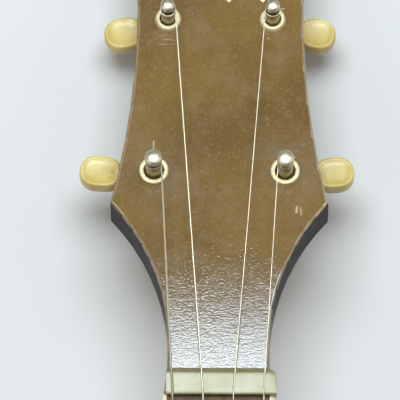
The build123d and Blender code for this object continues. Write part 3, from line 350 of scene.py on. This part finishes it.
def rim_wood():
    """Bent plies: grain that runs round the pot, with a darker glue line between plies."""
    s = Shader("rim_wood", Roughness=0.34, Coat_Weight=0.6, Coat_Roughness=0.12)
    x, y, z = (s.part(s.places, axis) for axis in "XYZ")
    radius = s.math("SQRT", s.math("ADD", s.math("MULTIPLY", x, x), s.math("MULTIPLY", y, y)))
    turn = s.math("ARCTAN2", y, x)
    round_pot = s.node(
        "ShaderNodeCombineXYZ",
        {
            "X": s.math("MULTIPLY", turn, 0.9),
            "Y": s.math("MULTIPLY", radius, 420.0),
            "Z": s.math("MULTIPLY", z, 300.0),
        },
    ).outputs["Vector"]
    bands = s.noise(1.6, 5, 0.6, round_pot, 0.5)
    colour = s.mix(s.span(bands, 0.3, 0.7), srgb(122, 74, 34), srgb(166, 112, 62))
    ply = s.math("FRACT", s.math("MULTIPLY", radius, 1 / PLY))
    glue = s.math("ADD", s.span(ply, 0.06, 0.0), s.span(ply, 0.94, 1.0))
    normal = s.node("ShaderNodeNewGeometry").outputs["Normal"]
    ends = s.span(s.math("ABSOLUTE", s.part(normal, "Z")), 0.7, 0.9)
    glue_line = s.math("MULTIPLY", s.math("MULTIPLY", glue, ends), 0.75)
    colour = s.mix(glue_line, colour, srgb(64, 36, 16))
    colour = s.mix(s.span(s.noise(14, 3), 0.5, 0.8, 0.0, 0.35), colour, srgb(96, 56, 24))
    s.set("Base Color", colour)
    s.set("Normal", s.bump(bands, 2.5e-5))
    return s.material


def metal(name, colour, roughness, tarnish, tarnish_amount, lines=None, metallic=1.0):
    """Plated or plain metal with smudges, tarnish and fine handling scratches."""
    s = Shader(name, Metallic=metallic)
    smudge = s.noise(90, 4, 0.6)
    stain = s.span(s.noise(210, 5, 0.65), 0.48, 0.75, 0.0, tarnish_amount)
    s.set("Base Color", s.mix(stain, colour, tarnish))
    s.set("Roughness", s.span(smudge, 0.3, 0.75, roughness * 0.8, roughness + 0.14))
    scale = lines or (1400, 1400, 1400)
    scratch = s.noise(1.0, 2, 0.5, s.stretched(*scale))
    s.set("Normal", s.bump(scratch, 3e-6, under=s.bump(s.noise(500, 2), 4e-6)))
    return s.material


def worn_nickel():
    """Dull, yellowed plating on the ferrules, rubbed by the strings and cloths."""
    s = Shader("nickel_worn", Metallic=0.45, Roughness=0.5)
    stain = s.span(s.noise(420, 5, 0.65), 0.42, 0.72, 0.0, 0.55)
    s.set("Base Color", s.mix(stain, srgb(222, 209, 164), srgb(184, 168, 120)))
    s.set("Normal", s.bump(s.noise(1500, 3), 5e-6))
    return s.material


def post_nickel():
    """Hazy plating on the string posts, duller low down, with painted shade under the cap."""
    s = Shader("nickel_post", Metallic=0.9)
    height = s.dot(s.off_from(FACE_POINT), FACE_UP)
    # painted shade: a dark band on the hollow just under the cap
    shade_under_cap = s.math(
        "MULTIPLY", s.span(height, 7.5 * MM, 8.1 * MM), s.span(height, 10.25 * MM, 9.9 * MM)
    )
    dull = s.span(height, 7.6 * MM, 6.9 * MM, 0.0, 0.55)
    stain = s.span(s.noise(500, 4, 0.6), 0.4, 0.75, 0.0, 0.35)
    colour = s.mix(stain, srgb(214, 207, 178), TARNISH)
    colour = s.mix(dull, colour, srgb(166, 152, 108))
    s.set("Base Color", s.mix(s.math("MULTIPLY", shade_under_cap, 0.85), colour, srgb(52, 44, 30)))
    s.set("Roughness", s.span(s.noise(700, 3), 0.3, 0.7, 0.3, 0.42))
    s.set("Normal", s.bump(s.noise(1600, 3), 4e-6))
    return s.material


FINE_MARKS = 700


def plastic(name, colour, aged, roughness, soft=0.06):
    """Old moulded plastic: a faint yellow ageing, a soft glow and tiny surface marks."""
    s = Shader(name, Roughness=roughness, Subsurface_Weight=soft, Subsurface_Scale=0.002)
    s.surface.inputs["Subsurface Radius"].default_value = (1.0, 0.7, 0.35)
    ageing = s.span(s.noise(120, 4, 0.6), 0.35, 0.7)
    base = s.mix(ageing, colour, aged)
    dirt = s.span(s.noise(FINE_MARKS, 4, 0.7), 0.62, 0.78, 0.0, 0.35)
    s.set("Base Color", s.mix(dirt, base, tuple(0.55 * c for c in aged[:3]) + (1.0,)))
    s.set("Roughness", s.span(s.noise(240, 3), 0.3, 0.7, roughness - 0.05, roughness + 0.12))
    s.set("Normal", s.bump(s.noise(FINE_MARKS, 3), 8e-6))
    return s.material


PLAYED_X = 34 * MM
PLAYED_Y = -42 * MM


def head_film():
    """Frosted head film: a sprayed white grain, worn smooth and grey where it is played."""
    s = Shader("head_film", Roughness=0.55, Subsurface_Weight=0.05, Subsurface_Scale=0.001)
    s.surface.inputs["Specular IOR Level"].default_value = 0.35
    grain = s.noise(1500, 2, 0.6)
    cloud = s.noise(16, 4, 0.6)
    played = s.distance_to((PLAYED_X, PLAYED_Y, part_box("head")[1].z))
    rubbed = s.math("MULTIPLY", s.span(played, 0.062, 0.018), s.span(cloud, 0.3, 0.6, 0.35, 1.0))
    colour = s.mix(s.span(cloud, 0.35, 0.7), srgb(236, 233, 222), srgb(226, 221, 206))
    colour = s.mix(s.math("MULTIPLY", rubbed, 0.4), colour, srgb(196, 188, 168))
    flecks = s.span(s.noise(420, 4, 0.7), 0.68, 0.78, 0.0, 0.3)
    s.set("Base Color", s.mix(flecks, colour, srgb(186, 176, 156)))
    s.set("Roughness", s.math("SUBTRACT", 0.62, s.math("MULTIPLY", rubbed, 0.22)))
    s.set("Normal", s.bump(grain, 2.2e-5))
    return s.material


def pearl():
    """Pearl plastic dots: silky bands that shift between warm and cool white."""
    s = Shader("pearl_plastic", Roughness=0.22, Coat_Weight=0.6, Coat_Roughness=0.08)
    silk = s.noise(330, 3, 0.6, distortion=2.2)
    s.set("Base Color", s.ramp(
        silk, (0.3, srgb(222, 214, 190)), (0.48, srgb(238, 236, 226)),
        (0.6, srgb(198, 206, 206)), (0.72, srgb(236, 226, 214))))
    s.set("Normal", s.bump(silk, 1e-5))
    return s.material


def wound_string():
    """A nickel wrap wire round the core: fine rings along the string."""
    s = Shader("wound_string", Metallic=0.6, Roughness=0.36)
    wraps = s.node(
        "ShaderNodeTexWave",
        {"Vector": s.places, "Scale": 2300.0, "Distortion": 0.2},
        bands_direction="Y",
    ).outputs["Fac"]
    # the darker part of each ring is painted shade in the groove between wraps
    s.set("Base Color", s.mix(s.span(wraps, 0.1, 0.6), srgb(172, 156, 124), srgb(240, 229, 198)))
    s.set("Normal", s.bump(wraps, 4e-5))
    return s.material


NICKEL = srgb(226, 219, 198)
TARNISH = srgb(150, 136, 104)
MATERIALS = {
    "neck_lacquer": neck_lacquer(),
    "rim_wood": rim_wood(),
    "head_film": head_film(),
    "pearl_plastic": pearl(),
    "wound_string": wound_string(),
    "tone_ring_brass": metal(
        "tone_ring_brass", srgb(206, 172, 104), 0.26, srgb(140, 104, 58), 0.6
    ),
    "gear_brass": metal("gear_brass", srgb(204, 172, 108), 0.3, srgb(132, 100, 56), 0.6),
    "hoop_aluminium": metal(
        "hoop_aluminium", srgb(196, 196, 194), 0.34, srgb(150, 148, 142), 0.4
    ),
    "nickel_plate": metal("nickel_plate", NICKEL, 0.24, TARNISH, 0.18),
    "steel_screw": metal("steel_screw", srgb(178, 176, 168), 0.3, srgb(112, 98, 78), 0.5),
    "rod_steel": metal("rod_steel", srgb(176, 174, 168), 0.28, srgb(116, 100, 80), 0.45),
    "tuner_steel": metal("tuner_steel", srgb(186, 182, 172), 0.24, srgb(124, 108, 84), 0.45),
    "fret_nickel": metal("fret_nickel", srgb(206, 200, 184), 0.2, TARNISH, 0.35, (900, 2400, 900)),
    "string_steel": metal(
        "string_steel", srgb(236, 228, 200), 0.34, srgb(190, 174, 138), 0.3, metallic=0.55
    ),
    "bridge_maple": wood("bridge_maple", srgb(170, 128, 78), srgb(206, 166, 112), "X", 0.42, 0.2),
    "ebony": wood("ebony", srgb(28, 22, 19), srgb(52, 42, 34), "X", 0.36, 0.2),
    "fretboard_wood": wood("fretboard_wood", srgb(66, 48, 26), srgb(112, 86, 50), "Y", 0.5, 0.05),
    "cream_plastic": plastic("cream_plastic", srgb(226, 214, 168), srgb(212, 194, 138), 0.3),
    "nut_plastic": plastic("nut_plastic", srgb(178, 174, 145), srgb(156, 149, 104), 0.36, 0.1),
    "button_plastic": plastic(
        "button_plastic", srgb(217, 196, 118), srgb(200, 172, 90), 0.3, 0.12
    ),
}


def worn_and_shaded_nut():
    """The nut's plastic, yellowed, with painted shade on the slope behind the strings' slots."""
    s = Shader("nut_worn_and_shaded", Roughness=0.36, Subsurface_Weight=0.1, Subsurface_Scale=0.002)
    s.surface.inputs["Subsurface Radius"].default_value = (1.0, 0.7, 0.35)
    along = s.dot(s.off_from(NECK_ORIGIN), NECK_ALONG)
    ageing = s.span(s.noise(120, 4, 0.6), 0.35, 0.7)
    colour = s.mix(ageing, srgb(180, 177, 147), srgb(166, 160, 120))
    # painted shade: the nut's back slope is darkened
    back = s.span(along, 6.2 * MM, 7.0 * MM, 0.0, 0.7)
    colour = s.mix(back, colour, srgb(120, 110, 66))
    dirt = s.span(s.noise(800, 4, 0.7), 0.62, 0.78, 0.0, 0.35)
    s.set("Base Color", s.mix(dirt, colour, srgb(96, 88, 62)))
    s.set("Normal", s.bump(s.noise(700, 3), 8e-6))
    return s.material


NUT_WORN_AND_SHADED = worn_and_shaded_nut()
NICKEL_WORN = worn_nickel()
NICKEL_POST = post_nickel()


def finish_with(piece, slot, material=None):
    """Gives a piece the slot's material, or a worn one of it."""
    piece.data.materials.clear()
    piece.data.materials.append(material or MATERIALS[slot])
    return piece


for node_name, node in NODES.items():
    material = MATERIALS[SLOT_OF[node_name]]
    if not node.material_slots:
        node.data.materials.append(material)
    for slot in node.material_slots:
        slot.material = material


# ------------------------------------------------------------------ mesh builders
def mesh_object(name, bm, sharp=38):
    """A scene object from a bmesh, smooth but for its sharp edges."""
    bmesh.ops.recalc_face_normals(bm, faces=bm.faces)
    mesh = bpy.data.meshes.new(name)
    bm.to_mesh(mesh)
    bm.free()
    mesh.shade_smooth()
    mesh.set_sharp_from_angle(angle=math.radians(sharp))
    piece = bpy.data.objects.new(name, mesh)
    bpy.context.scene.collection.objects.link(piece)
    return piece


def softened(points, radius, steps, closed=False):
    """The same outline with each corner rounded by a short curve."""
    points = [Vector((x, y, 0)) for x, y in points]
    count = len(points)
    made = []
    for index, corner in enumerate(points):
        if not closed and index in (0, count - 1):
            made.append(corner)
            continue
        before = points[index - 1]
        after = points[(index + 1) % count]
        start = corner.lerp(before, min(0.45, radius / max((before - corner).length, 1e-9)))
        end = corner.lerp(after, min(0.45, radius / max((after - corner).length, 1e-9)))
        for step in range(steps + 1):
            t = step / steps
            made.append(start.lerp(corner, t).lerp(corner.lerp(end, t), t))
    return [(p.x, p.y) for p in made]


def skin(bm, rings, closed=False, caps=False):
    """Faces between rings of vertices, where a ring of one vertex is a pole."""
    pairs = list(zip(rings, rings[1:]))
    if closed:
        pairs.append((rings[-1], rings[0]))
    for low, high in pairs:
        count = max(len(low), len(high))
        if count == 1:
            continue
        for step in range(count):
            after = (step + 1) % count
            if len(low) == 1:
                bm.faces.new((low[0], high[step], high[after]))
            elif len(high) == 1:
                bm.faces.new((low[step], low[after], high[0]))
            else:
                bm.faces.new((low[step], low[after], high[after], high[step]))
    if caps:
        bm.faces.new(rings[0][::-1])
        bm.faces.new(rings[-1])


def add_lathe(bm, profile, place, segments=64, closed=False):
    """Adds a turned shape to the bmesh: (radius, height) points in mm about the place's Z."""
    rings = []
    for radius, height in profile:
        if radius < 1e-6:
            rings.append([bm.verts.new(place @ Vector((0, 0, height * MM)))])
            continue
        ring = []
        for step in range(segments):
            turn = 2 * math.pi * step / segments
            spot = Vector((radius * math.cos(turn), radius * math.sin(turn), height)) * MM
            ring.append(bm.verts.new(place @ spot))
        rings.append(ring)
    skin(bm, rings, closed=closed)


def add_tube(bm, path, radius, sides):
    """Adds a round wire along a list of points to the bmesh, closed at both ends."""
    rings = []
    side = None
    for index, point in enumerate(path):
        ahead = path[min(index + 1, len(path) - 1)] - path[max(index - 1, 0)]
        ahead.normalize()
        if side is None:
            side = ahead.orthogonal().normalized()
        side = (side - ahead * side.dot(ahead)).normalized()
        other = ahead.cross(side)
        ring = []
        for step in range(sides):
            turn = 2 * math.pi * step / sides
            offset = side * math.cos(turn) + other * math.sin(turn)
            ring.append(bm.verts.new(point + offset * radius))
        rings.append(ring)
    skin(bm, rings, caps=True)


# ------------------------------------------------------------------ tuner posts and bushings
POST_LOW = -20.5
SPIGOT_R = 1.5
POST_R = 3.0
POST_TOP = 12.2
WRAP_R = 2.0


def post_profile(upper):
    """A string post: spigot, barrel, hollow under the cap, and a domed cap."""
    gear_top = POST_LOW + 1.4
    low = [(0, POST_LOW), (SPIGOT_R, POST_LOW), (SPIGOT_R, gear_top), (POST_R, gear_top)]
    if upper:
        cap_r = 2.18
        body = [
            (POST_R, -1.7), (2.12, -1.5), (2.12, 5.6), (1.95, 6.3),
            (WRAP_R, 8.35), (1.45, 8.8), (1.45, 9.75), (cap_r - 0.1, 10.0), (cap_r, 10.3),
        ]
    else:
        cap_r = 2.65
        body = [
            (POST_R, -1.7), (2.4, -1.5), (2.4, 6.0), (WRAP_R, 6.4), (WRAP_R, 9.2),
            (cap_r - 0.12, 9.75), (cap_r, 10.1),
        ]
    dome_low = 11.15
    dome = [
        (cap_r * math.cos(t), dome_low + (POST_TOP - dome_low) * math.sin(t))
        for t in (math.radians(a) for a in range(0, 90, 10))
    ]
    return softened(low + body, 0.2, 3) + dome + [(0, POST_TOP)]


def bushing_profile(upper):
    """A ferrule: shank in the wood, wide flat flange, and a dark gap round the post."""
    if upper:
        flange = [(4.05, 0.02), (3.66, 0.7), (3.5, 0.86), (2.6, 0.9), (2.5, 0.75), (2.5, -0.9)]
    else:
        flange = [(4.5, 0.02), (4.48, 0.6), (4.25, 0.98), (3.2, 1.04), (3.06, 0.9), (3.06, -0.9)]
    return [(3.06, -5.9), (3.98, -5.9), (3.98, 0.02), *flange, (3.06, -1.0)]


def build_bushings():
    """The four ferrules, as one piece."""
    bm = bmesh.new()
    for number in TUNERS:
        profile = bushing_profile(number in UPPER_TUNERS)
        add_lathe(bm, softened(profile, 0.12, 3, True), tuner_place(number), closed=True)
    piece = finish_with(mesh_object("tuner_bushings", bm, 60), "nickel_plate", NICKEL_WORN)
    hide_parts("tuner_ferrules")
    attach(piece, "root")


# ------------------------------------------------------------------ strings
# the cut ends: how far out of the post, and their bearing; string 4's carries on up the face
STUB_OUT = {1: 3.1, 2: 3.5, 3: 3.0, 4: 6.0}
STUB_BEARING = {1: 0.2, 2: 0.05, 3: 2.4}
STUB_RISE = 0.5
STUB_STEPS = (0.15, 0.4, 0.65, 0.85, 1.0)
HOLE_HEIGHT = 8.85
TURNS = {1: 2.4, 2: 2.4, 3: 2.0, 4: 1.6}
STEPS_PER_TURN = 40
WRAP_PITCH = 2.04


def string_end(number):
    """The middle of a CAD string's free end at its post, and the string's radius."""
    spots = [v.co.copy() for v in NODES[f"string_{number}"].data.vertices]
    furthest = max(FACE_ALONG.dot(p) for p in spots)
    last = [p for p in spots if FACE_ALONG.dot(p) > furthest - 0.3 * MM]
    middle = sum(last, Vector()) / len(last)
    return middle, max((p - middle).length for p in last)


def build_lead(number, end, touch, radius):
    """The last of a string, from where its CAD solid stops to where it meets the winding."""
    bm = bmesh.new()
    overlap = (touch - end).normalized() * 0.3 * MM
    add_tube(bm, [end - overlap, end, touch], radius, 12)
    piece = finish_with(mesh_object(f"string_lead_{number}", bm, 60), SLOT_OF[f"string_{number}"])
    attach(piece, "root")


def build_winding(number):
    """The string wound round its post from where it arrives, and its cut end."""
    place = tuner_place(number)
    end, radius = string_end(number)
    start = place.inverted() @ end
    heading = place.to_3x3().inverted() @ FACE_ALONG
    sign = math.copysign(1, start.x * heading.y - start.y * heading.x)
    reach = math.hypot(start.x, start.y)
    first = math.atan2(start.y, start.x)
    turns = TURNS[number]
    steps = int(turns * STEPS_PER_TURN)
    coil = WRAP_R * MM + radius
    first += sign * math.acos(coil / reach)
    touch = Vector((coil * math.cos(first), coil * math.sin(first), start.z))
    build_lead(number, end, place @ touch, radius)
    path = []
    for step in range(steps + 1):
        turn = first + sign * 2 * math.pi * turns * step / steps
        fall = WRAP_PITCH * radius * turns * step / steps
        path.append(Vector((coil * math.cos(turn), coil * math.sin(turn), start.z - fall)))
    inward = path[-1].copy()
    for share in (0.85, 0.6):
        path.append(Vector((inward.x * share, inward.y * share, inward.z)))
    bm = bmesh.new()
    add_tube(bm, [place @ p for p in path], radius, 10)
    tip = heading.normalized()
    if number in STUB_BEARING:
        tip = Matrix.Rotation(STUB_BEARING[number], 3, "Z") @ Vector((1, 0, 0))
    stub = []
    for t in STUB_STEPS:
        height = HOLE_HEIGHT * MM + STUB_RISE * MM * t * t
        stub.append(tip * (STUB_OUT[number] * t * MM) + Vector((0, 0, height)))
    add_tube(bm, [place @ p for p in stub], radius, 10)
    piece = mesh_object(f"tuner_winding_{number}", bm, 60)
    finish_with(piece, SLOT_OF[f"string_{number}"])
    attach(piece, f"tuner_{number}_roller")


def build_post(number):
    """A string post in place of the CAD one, on the roller that turns it."""
    place = tuner_place(number)
    bm = bmesh.new()
    add_lathe(bm, post_profile(number in UPPER_TUNERS), place)
    post = mesh_object(f"tuner_post_{number}", bm, 50)
    finish_with(post, "nickel_plate", NICKEL_POST)
    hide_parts(f"tuner_{number}_post")
    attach(post, f"tuner_{number}_roller")


for tuner in TUNERS:
    build_post(tuner)
    build_winding(tuner)
build_bushings()


# ------------------------------------------------------------------ nut
NUT_LEFT = -15.5
NUT_RIGHT = 17.5
NUT_PROFILE = (
    (0, -NUT_SEAT), (0, -2.0), (0, 1.0), (0, 2.2), NUT_CREST, (2.0, 2.205), (3.6, 1.89),
    (5.2, 1.575), (6.6, 1.3), (7.1, -0.07), (7.8, -1.99), (8.7, -4.45), (8.7, -NUT_SEAT),
)
NUT_REAR_R = 3.0
SLOT_CREST = (0.6, 1.9)
SLOT_SIDE = 0.08
SLOT_CLEAR = 1.4
SLOT_SHARES = (-1.12, -1.0, -0.7, -0.35, 0.0, 0.35, 0.7, 1.0, 1.12)
PLAIN_COLUMNS = 45
END_COLUMNS = (0.35, 0.12, 0.03)


def nut_depth(x):
    """How far the nut reaches back at x, as a share: its treble rear corner is rounded."""
    inside = max(0.0, x - (NUT_RIGHT - NUT_REAR_R))
    cut = NUT_REAR_R - math.sqrt(max(0.0, NUT_REAR_R**2 - inside**2))
    return 1 - cut / NUT_PROFILE[-1][0]


def slot_line(number):
    """Where a string runs through the nut: x at its crest, drift and fall per mm, radius."""
    end, radius = string_end(number)
    off = end - NECK_ORIGIN
    spots = [v.co.x for v in NODES[f"string_{number}"].data.vertices
             if NUT_LOW.y < v.co.y < NUT_LOW.y + 2 * MM]
    x = sum(spots) / len(spots) / MM
    run = off.dot(NECK_ALONG) / MM - SLOT_CREST[0]
    drift = (end.x / MM - x) / run
    fall = (SLOT_CREST[1] - off.dot(NECK_UP) / MM) / run
    return x, drift, fall, radius / MM


def build_nut():
    """The nut with its slots cut open from above, so that the strings lie in sight."""
    rows = softened(NUT_PROFILE, 0.3, 2)
    columns = []
    slots = [slot_line(number) for number in TUNERS]
    for x, drift, fall, radius in slots:
        half = radius + SLOT_SIDE
        for share in SLOT_SHARES:
            columns.append((x + share * half, drift, (fall, half), share))
    wide = NUT_RIGHT - NUT_LEFT
    plain = [NUT_LEFT + wide * step / (PLAIN_COLUMNS - 1) for step in range(PLAIN_COLUMNS)]
    plain += [NUT_RIGHT - inside for inside in END_COLUMNS]
    for x in plain:
        if all(abs(x - slot[0]) > SLOT_CLEAR for slot in slots):
            columns.append((x, 0.0, None, 0.0))
    columns.sort(key=lambda column: column[0])
    bm = bmesh.new()
    rings = []
    for x, drift, slot, share in columns:
        ring = []
        for along, above in rows:
            across = x + drift * max(0.0, along - SLOT_CREST[0])
            if slot and abs(share) <= 1.0:
                fall, half = slot
                centre = SLOT_CREST[1] - fall * max(0.0, along - SLOT_CREST[0])
                above = min(above, centre - half * math.sqrt(max(0.0, 1 - share * share)))
            depth = along * nut_depth(across)
            ring.append(bm.verts.new(neck_place(across, depth, above)))
        rings.append(ring)
    skin(bm, rings, caps=True)
    piece = finish_with(mesh_object("nut_slotted", bm, 35), "nut_plastic", NUT_WORN_AND_SHADED)
    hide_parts("nut")
    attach(piece, "root")


build_nut()

# ------------------------------------------------------------------ buttons
BUTTON_HALF_W = 5.1
BUTTON_OUT = 5.5
BUTTON_HALF_T = 2.9
BUTTON_SECTION = (
    (0.0, 0.84), (0.45, 0.84), (0.68, 0.87), (0.8, 0.97),
    (0.88, 1.0), (0.94, 0.93), (0.98, 0.72), (1.0, 0.4),
)
BUTTON_SEGMENTS = 72
OUTER_SQUARENESS = 2.25
STEM = ((0, -6.3), (2.3, -6.3), (2.6, -4.6), (2.2, -2.0), (0, -2.0))


def button_outline(turn, squareness, inner):
    """The button's outline, rounder at its outer end and squarer where it meets the shaft."""
    x, y = math.cos(turn), math.sin(turn)
    power = 2 / (OUTER_SQUARENESS if x > 0 else squareness)
    length = BUTTON_OUT if x > 0 else inner
    return (
        math.copysign(abs(x) ** power, x) * length,
        math.copysign(abs(y) ** power, y) * BUTTON_HALF_W,
    )


def build_button(name, node, body, centre, along, up, squareness, inner):
    """An oval button with a raised rim, on the shaft that the CAD button sits on."""
    across = up.cross(along).normalized()
    bm = bmesh.new()
    levels = list(BUTTON_SECTION)
    levels += [(share, -height) for share, height in reversed(BUTTON_SECTION)]
    rings = []
    for share, height in levels:
        spots = []
        for step in range(BUTTON_SEGMENTS if share else 1):
            turn = 2 * math.pi * step / BUTTON_SEGMENTS
            x, y = button_outline(turn, squareness, inner)
            offset = along * x * share + across * y * share + up * height * BUTTON_HALF_T
            spots.append(bm.verts.new(centre + offset * MM))
        rings.append(spots)
    skin(bm, rings)
    neck = Matrix((across, up, along)).transposed().to_4x4()
    neck.translation = centre
    add_lathe(bm, softened(STEM, 0.3, 3), neck, 40)
    piece = finish_with(mesh_object(name, bm, 60), "button_plastic")
    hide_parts(node)
    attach(piece, body)


def middle_of(node):
    low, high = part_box(node)
    return (low + high) / 2


# how far each button sits out along its shaft from the CAD one, and its inner end
KNOB_OUT = {1: -0.15, 2: 0.1, 3: 0.45, 4: 1.6}
KNOB_INNER_SQUARENESS = {1: 3.1, 2: 2.2, 3: 3.1, 4: 3.1}
KNOB_INNER_LENGTH = {1: 6.2, 2: 6.2, 3: 6.2, 4: 7.2}

FIFTH_INNER_SQUARENESS = 2.4
FIFTH_INNER_LENGTH = 6.0


def build_tuner_knob(number):
    place = tuner_place(number)
    along = place.to_3x3().col[0].copy()
    shaft = Vector(JOINTS[f"tuner_{number}_turn"]["pos_m"])
    reach = (middle_of(f"tuner_{number}_button") - shaft).dot(along)
    build_button(
        f"tuner_knob_{number}",
        f"tuner_{number}_button",
        f"tuner_{number}_key",
        shaft + along * (reach + KNOB_OUT[number] * MM),
        along,
        place.to_3x3().col[2].copy(),
        KNOB_INNER_SQUARENESS[number],
        KNOB_INNER_LENGTH[number],
    )


def build_fifth_knob():
    peg = JOINTS["fifth_peg_turn"]
    along = Vector(peg["axis"]).normalized()
    middle = middle_of("fifth_peg_button")
    if (middle - Vector(peg["pos_m"])).dot(along) < 0:
        along.negate()
    build_button(
        "fifth_peg_knob",
        "fifth_peg_button",
        "fifth_peg",
        middle,
        along,
        (Vector((0, 1, 0)) - along * along.y).normalized(),
        FIFTH_INNER_SQUARENESS,
        FIFTH_INNER_LENGTH,
    )


for tuner in TUNERS:
    build_tuner_knob(tuner)
build_fifth_knob()


# ------------------------------------------------------------------ inlay on the headstock
INLAY_PLACES = ((2.6, 121.0), (12.9, 121.0), (7.75, 126.4))
INLAY_HALF_WIDE = 2.2
INLAY_HALF_LONG = 2.4
INLAY_LEVELS = ((1.0, -0.2), (1.0, 0.03), (0.88, 0.06))


def build_inlay():
    """Three plain lozenges of gilt metal let into the headstock's face."""
    bm = bmesh.new()
    for x, along in INLAY_PLACES:
        rings = []
        for size, above in INLAY_LEVELS:
            wide, long = INLAY_HALF_WIDE * size, INLAY_HALF_LONG * size
            corners = ((wide, 0), (0, long), (-wide, 0), (0, -long))
            rings.append([
                bm.verts.new(on_face((x + dx) * MM, (along + dy) * MM, above * MM))
                for dx, dy in corners
            ])
        skin(bm, rings, caps=True)
    piece = finish_with(mesh_object("headstock_inlay", bm), "gear_brass")
    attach(piece, "root")


build_inlay()

# ------------------------------------------------------------------ floor, lights and camera
CAMERA_AT = Vector((0.00797, 0.39233, 2.34703))
CAMERA_TILT = math.radians(7.504)
CAMERA_YAW = math.radians(0.304)
CAMERA_ROLL = math.radians(0.306)
CAMERA_LENS = 691.4
GLARE_EDGE = 9.5 * MM
PANEL_FAR = 1.3
PANEL_WIDE = 0.9
PANEL_TALL = 0.6
PANEL_WATTS = 22
PANEL_COLOUR = (0.82, 0.92, 1.0)
WORLD_COLOUR = (1.0, 0.98, 0.95, 1)
WORLD_GLOW = 0.14
FLOOR_REACH = 40.0
FLOOR_TOP = -0.0005
FLOOR_GLOW = 0.3
FLOOR_GLOW_COLOUR = (0.96, 0.98, 1.0, 1)


def build_floor():
    """A flat pale sheet, wide enough to fill a long lens's view from any side.

    It has no raised edge, which would come between the object and a far, low camera. Away from
    the lamps it has a faint painted glow, standing in for paper lit from further off.
    """
    bm = bmesh.new()
    corners = ((-1, -1), (1, -1), (1, 1), (-1, 1))
    bm.faces.new(
        [bm.verts.new((x * FLOOR_REACH, y * FLOOR_REACH, FLOOR_TOP)) for x, y in corners]
    )
    piece = mesh_object("floor", bm)
    s = Shader("floor_paper", Roughness=0.85)
    clouds = s.span(s.noise(3, 3), 0.3, 0.7)
    s.set("Base Color", s.mix(clouds, srgb(216, 214, 210), srgb(222, 220, 216)))
    s.surface.inputs["Emission Color"].default_value = FLOOR_GLOW_COLOUR
    # painted glow: the floor emits a little light, more the further it is from the middle
    s.set("Emission Strength", s.span(s.distance_to((0, 0.3, 0)), 1.2, 4.5, 0.0, FLOOR_GLOW))
    s.set("Normal", s.bump(s.noise(600, 3), 3e-5))
    piece.data.materials.append(s.material)


def look_from(spot, target):
    """A light's rotation that points it from the spot at the target."""
    return (target - spot).to_track_quat("-Z", "Y").to_euler()


def area_light(name, spot, target, wide, tall, watts, colour=(1, 1, 1)):
    light = bpy.data.lights.new(name, "AREA")
    light.shape = "RECTANGLE"
    light.size, light.size_y = wide, tall
    light.energy = watts
    light.color = colour
    holder = bpy.data.objects.new(name, light)
    holder.location = spot
    holder.rotation_euler = look_from(spot, target)
    bpy.context.scene.collection.objects.link(holder)
    return holder


def build_camera():
    camera = bpy.data.objects.new("camera", bpy.data.cameras.new("camera"))
    camera.location = CAMERA_AT
    camera.rotation_euler = (CAMERA_TILT, CAMERA_YAW, CAMERA_ROLL)
    camera.data.lens = CAMERA_LENS
    camera.data.clip_start = 0.05
    camera.data.clip_end = 60
    bpy.context.scene.collection.objects.link(camera)
    bpy.context.scene.camera = camera


def build_lights():
    """A soft panel whose mirror image in the lacquer ends just above the nut, and fills."""
    edge = on_face(0, GLARE_EDGE)
    to_camera = (CAMERA_AT - edge).normalized()
    mirrored = 2 * FACE_UP.dot(to_camera) * FACE_UP - to_camera
    panel_up = (FACE_ALONG - mirrored * FACE_ALONG.dot(mirrored)).normalized()
    spot = edge + mirrored * PANEL_FAR - panel_up * PANEL_TALL / 2
    panel = area_light(
        "key_panel", spot, edge, PANEL_WIDE, PANEL_TALL, PANEL_WATTS, PANEL_COLOUR
    )
    panel.rotation_euler = (
        Matrix((panel_up.cross(mirrored), panel_up, mirrored)).transposed().to_euler()
    )
    area_light("fill_left", Vector((-1.6, 0.1, 1.5)), Vector((0, 0.4, 0)), 1.8, 1.8, 12)
    area_light("fill_right", Vector((1.7, 0.9, 1.3)), Vector((0, 0.4, 0)), 1.6, 1.6, 9)
    world = bpy.data.worlds.new("studio")
    world.use_nodes = True
    sky = world.node_tree.nodes["Background"]
    sky.inputs["Color"].default_value = WORLD_COLOUR
    sky.inputs["Strength"].default_value = WORLD_GLOW
    bpy.context.scene.world = world


build_floor()
build_camera()
build_lights()
bpy.context.scene.view_settings.view_transform = "Standard"
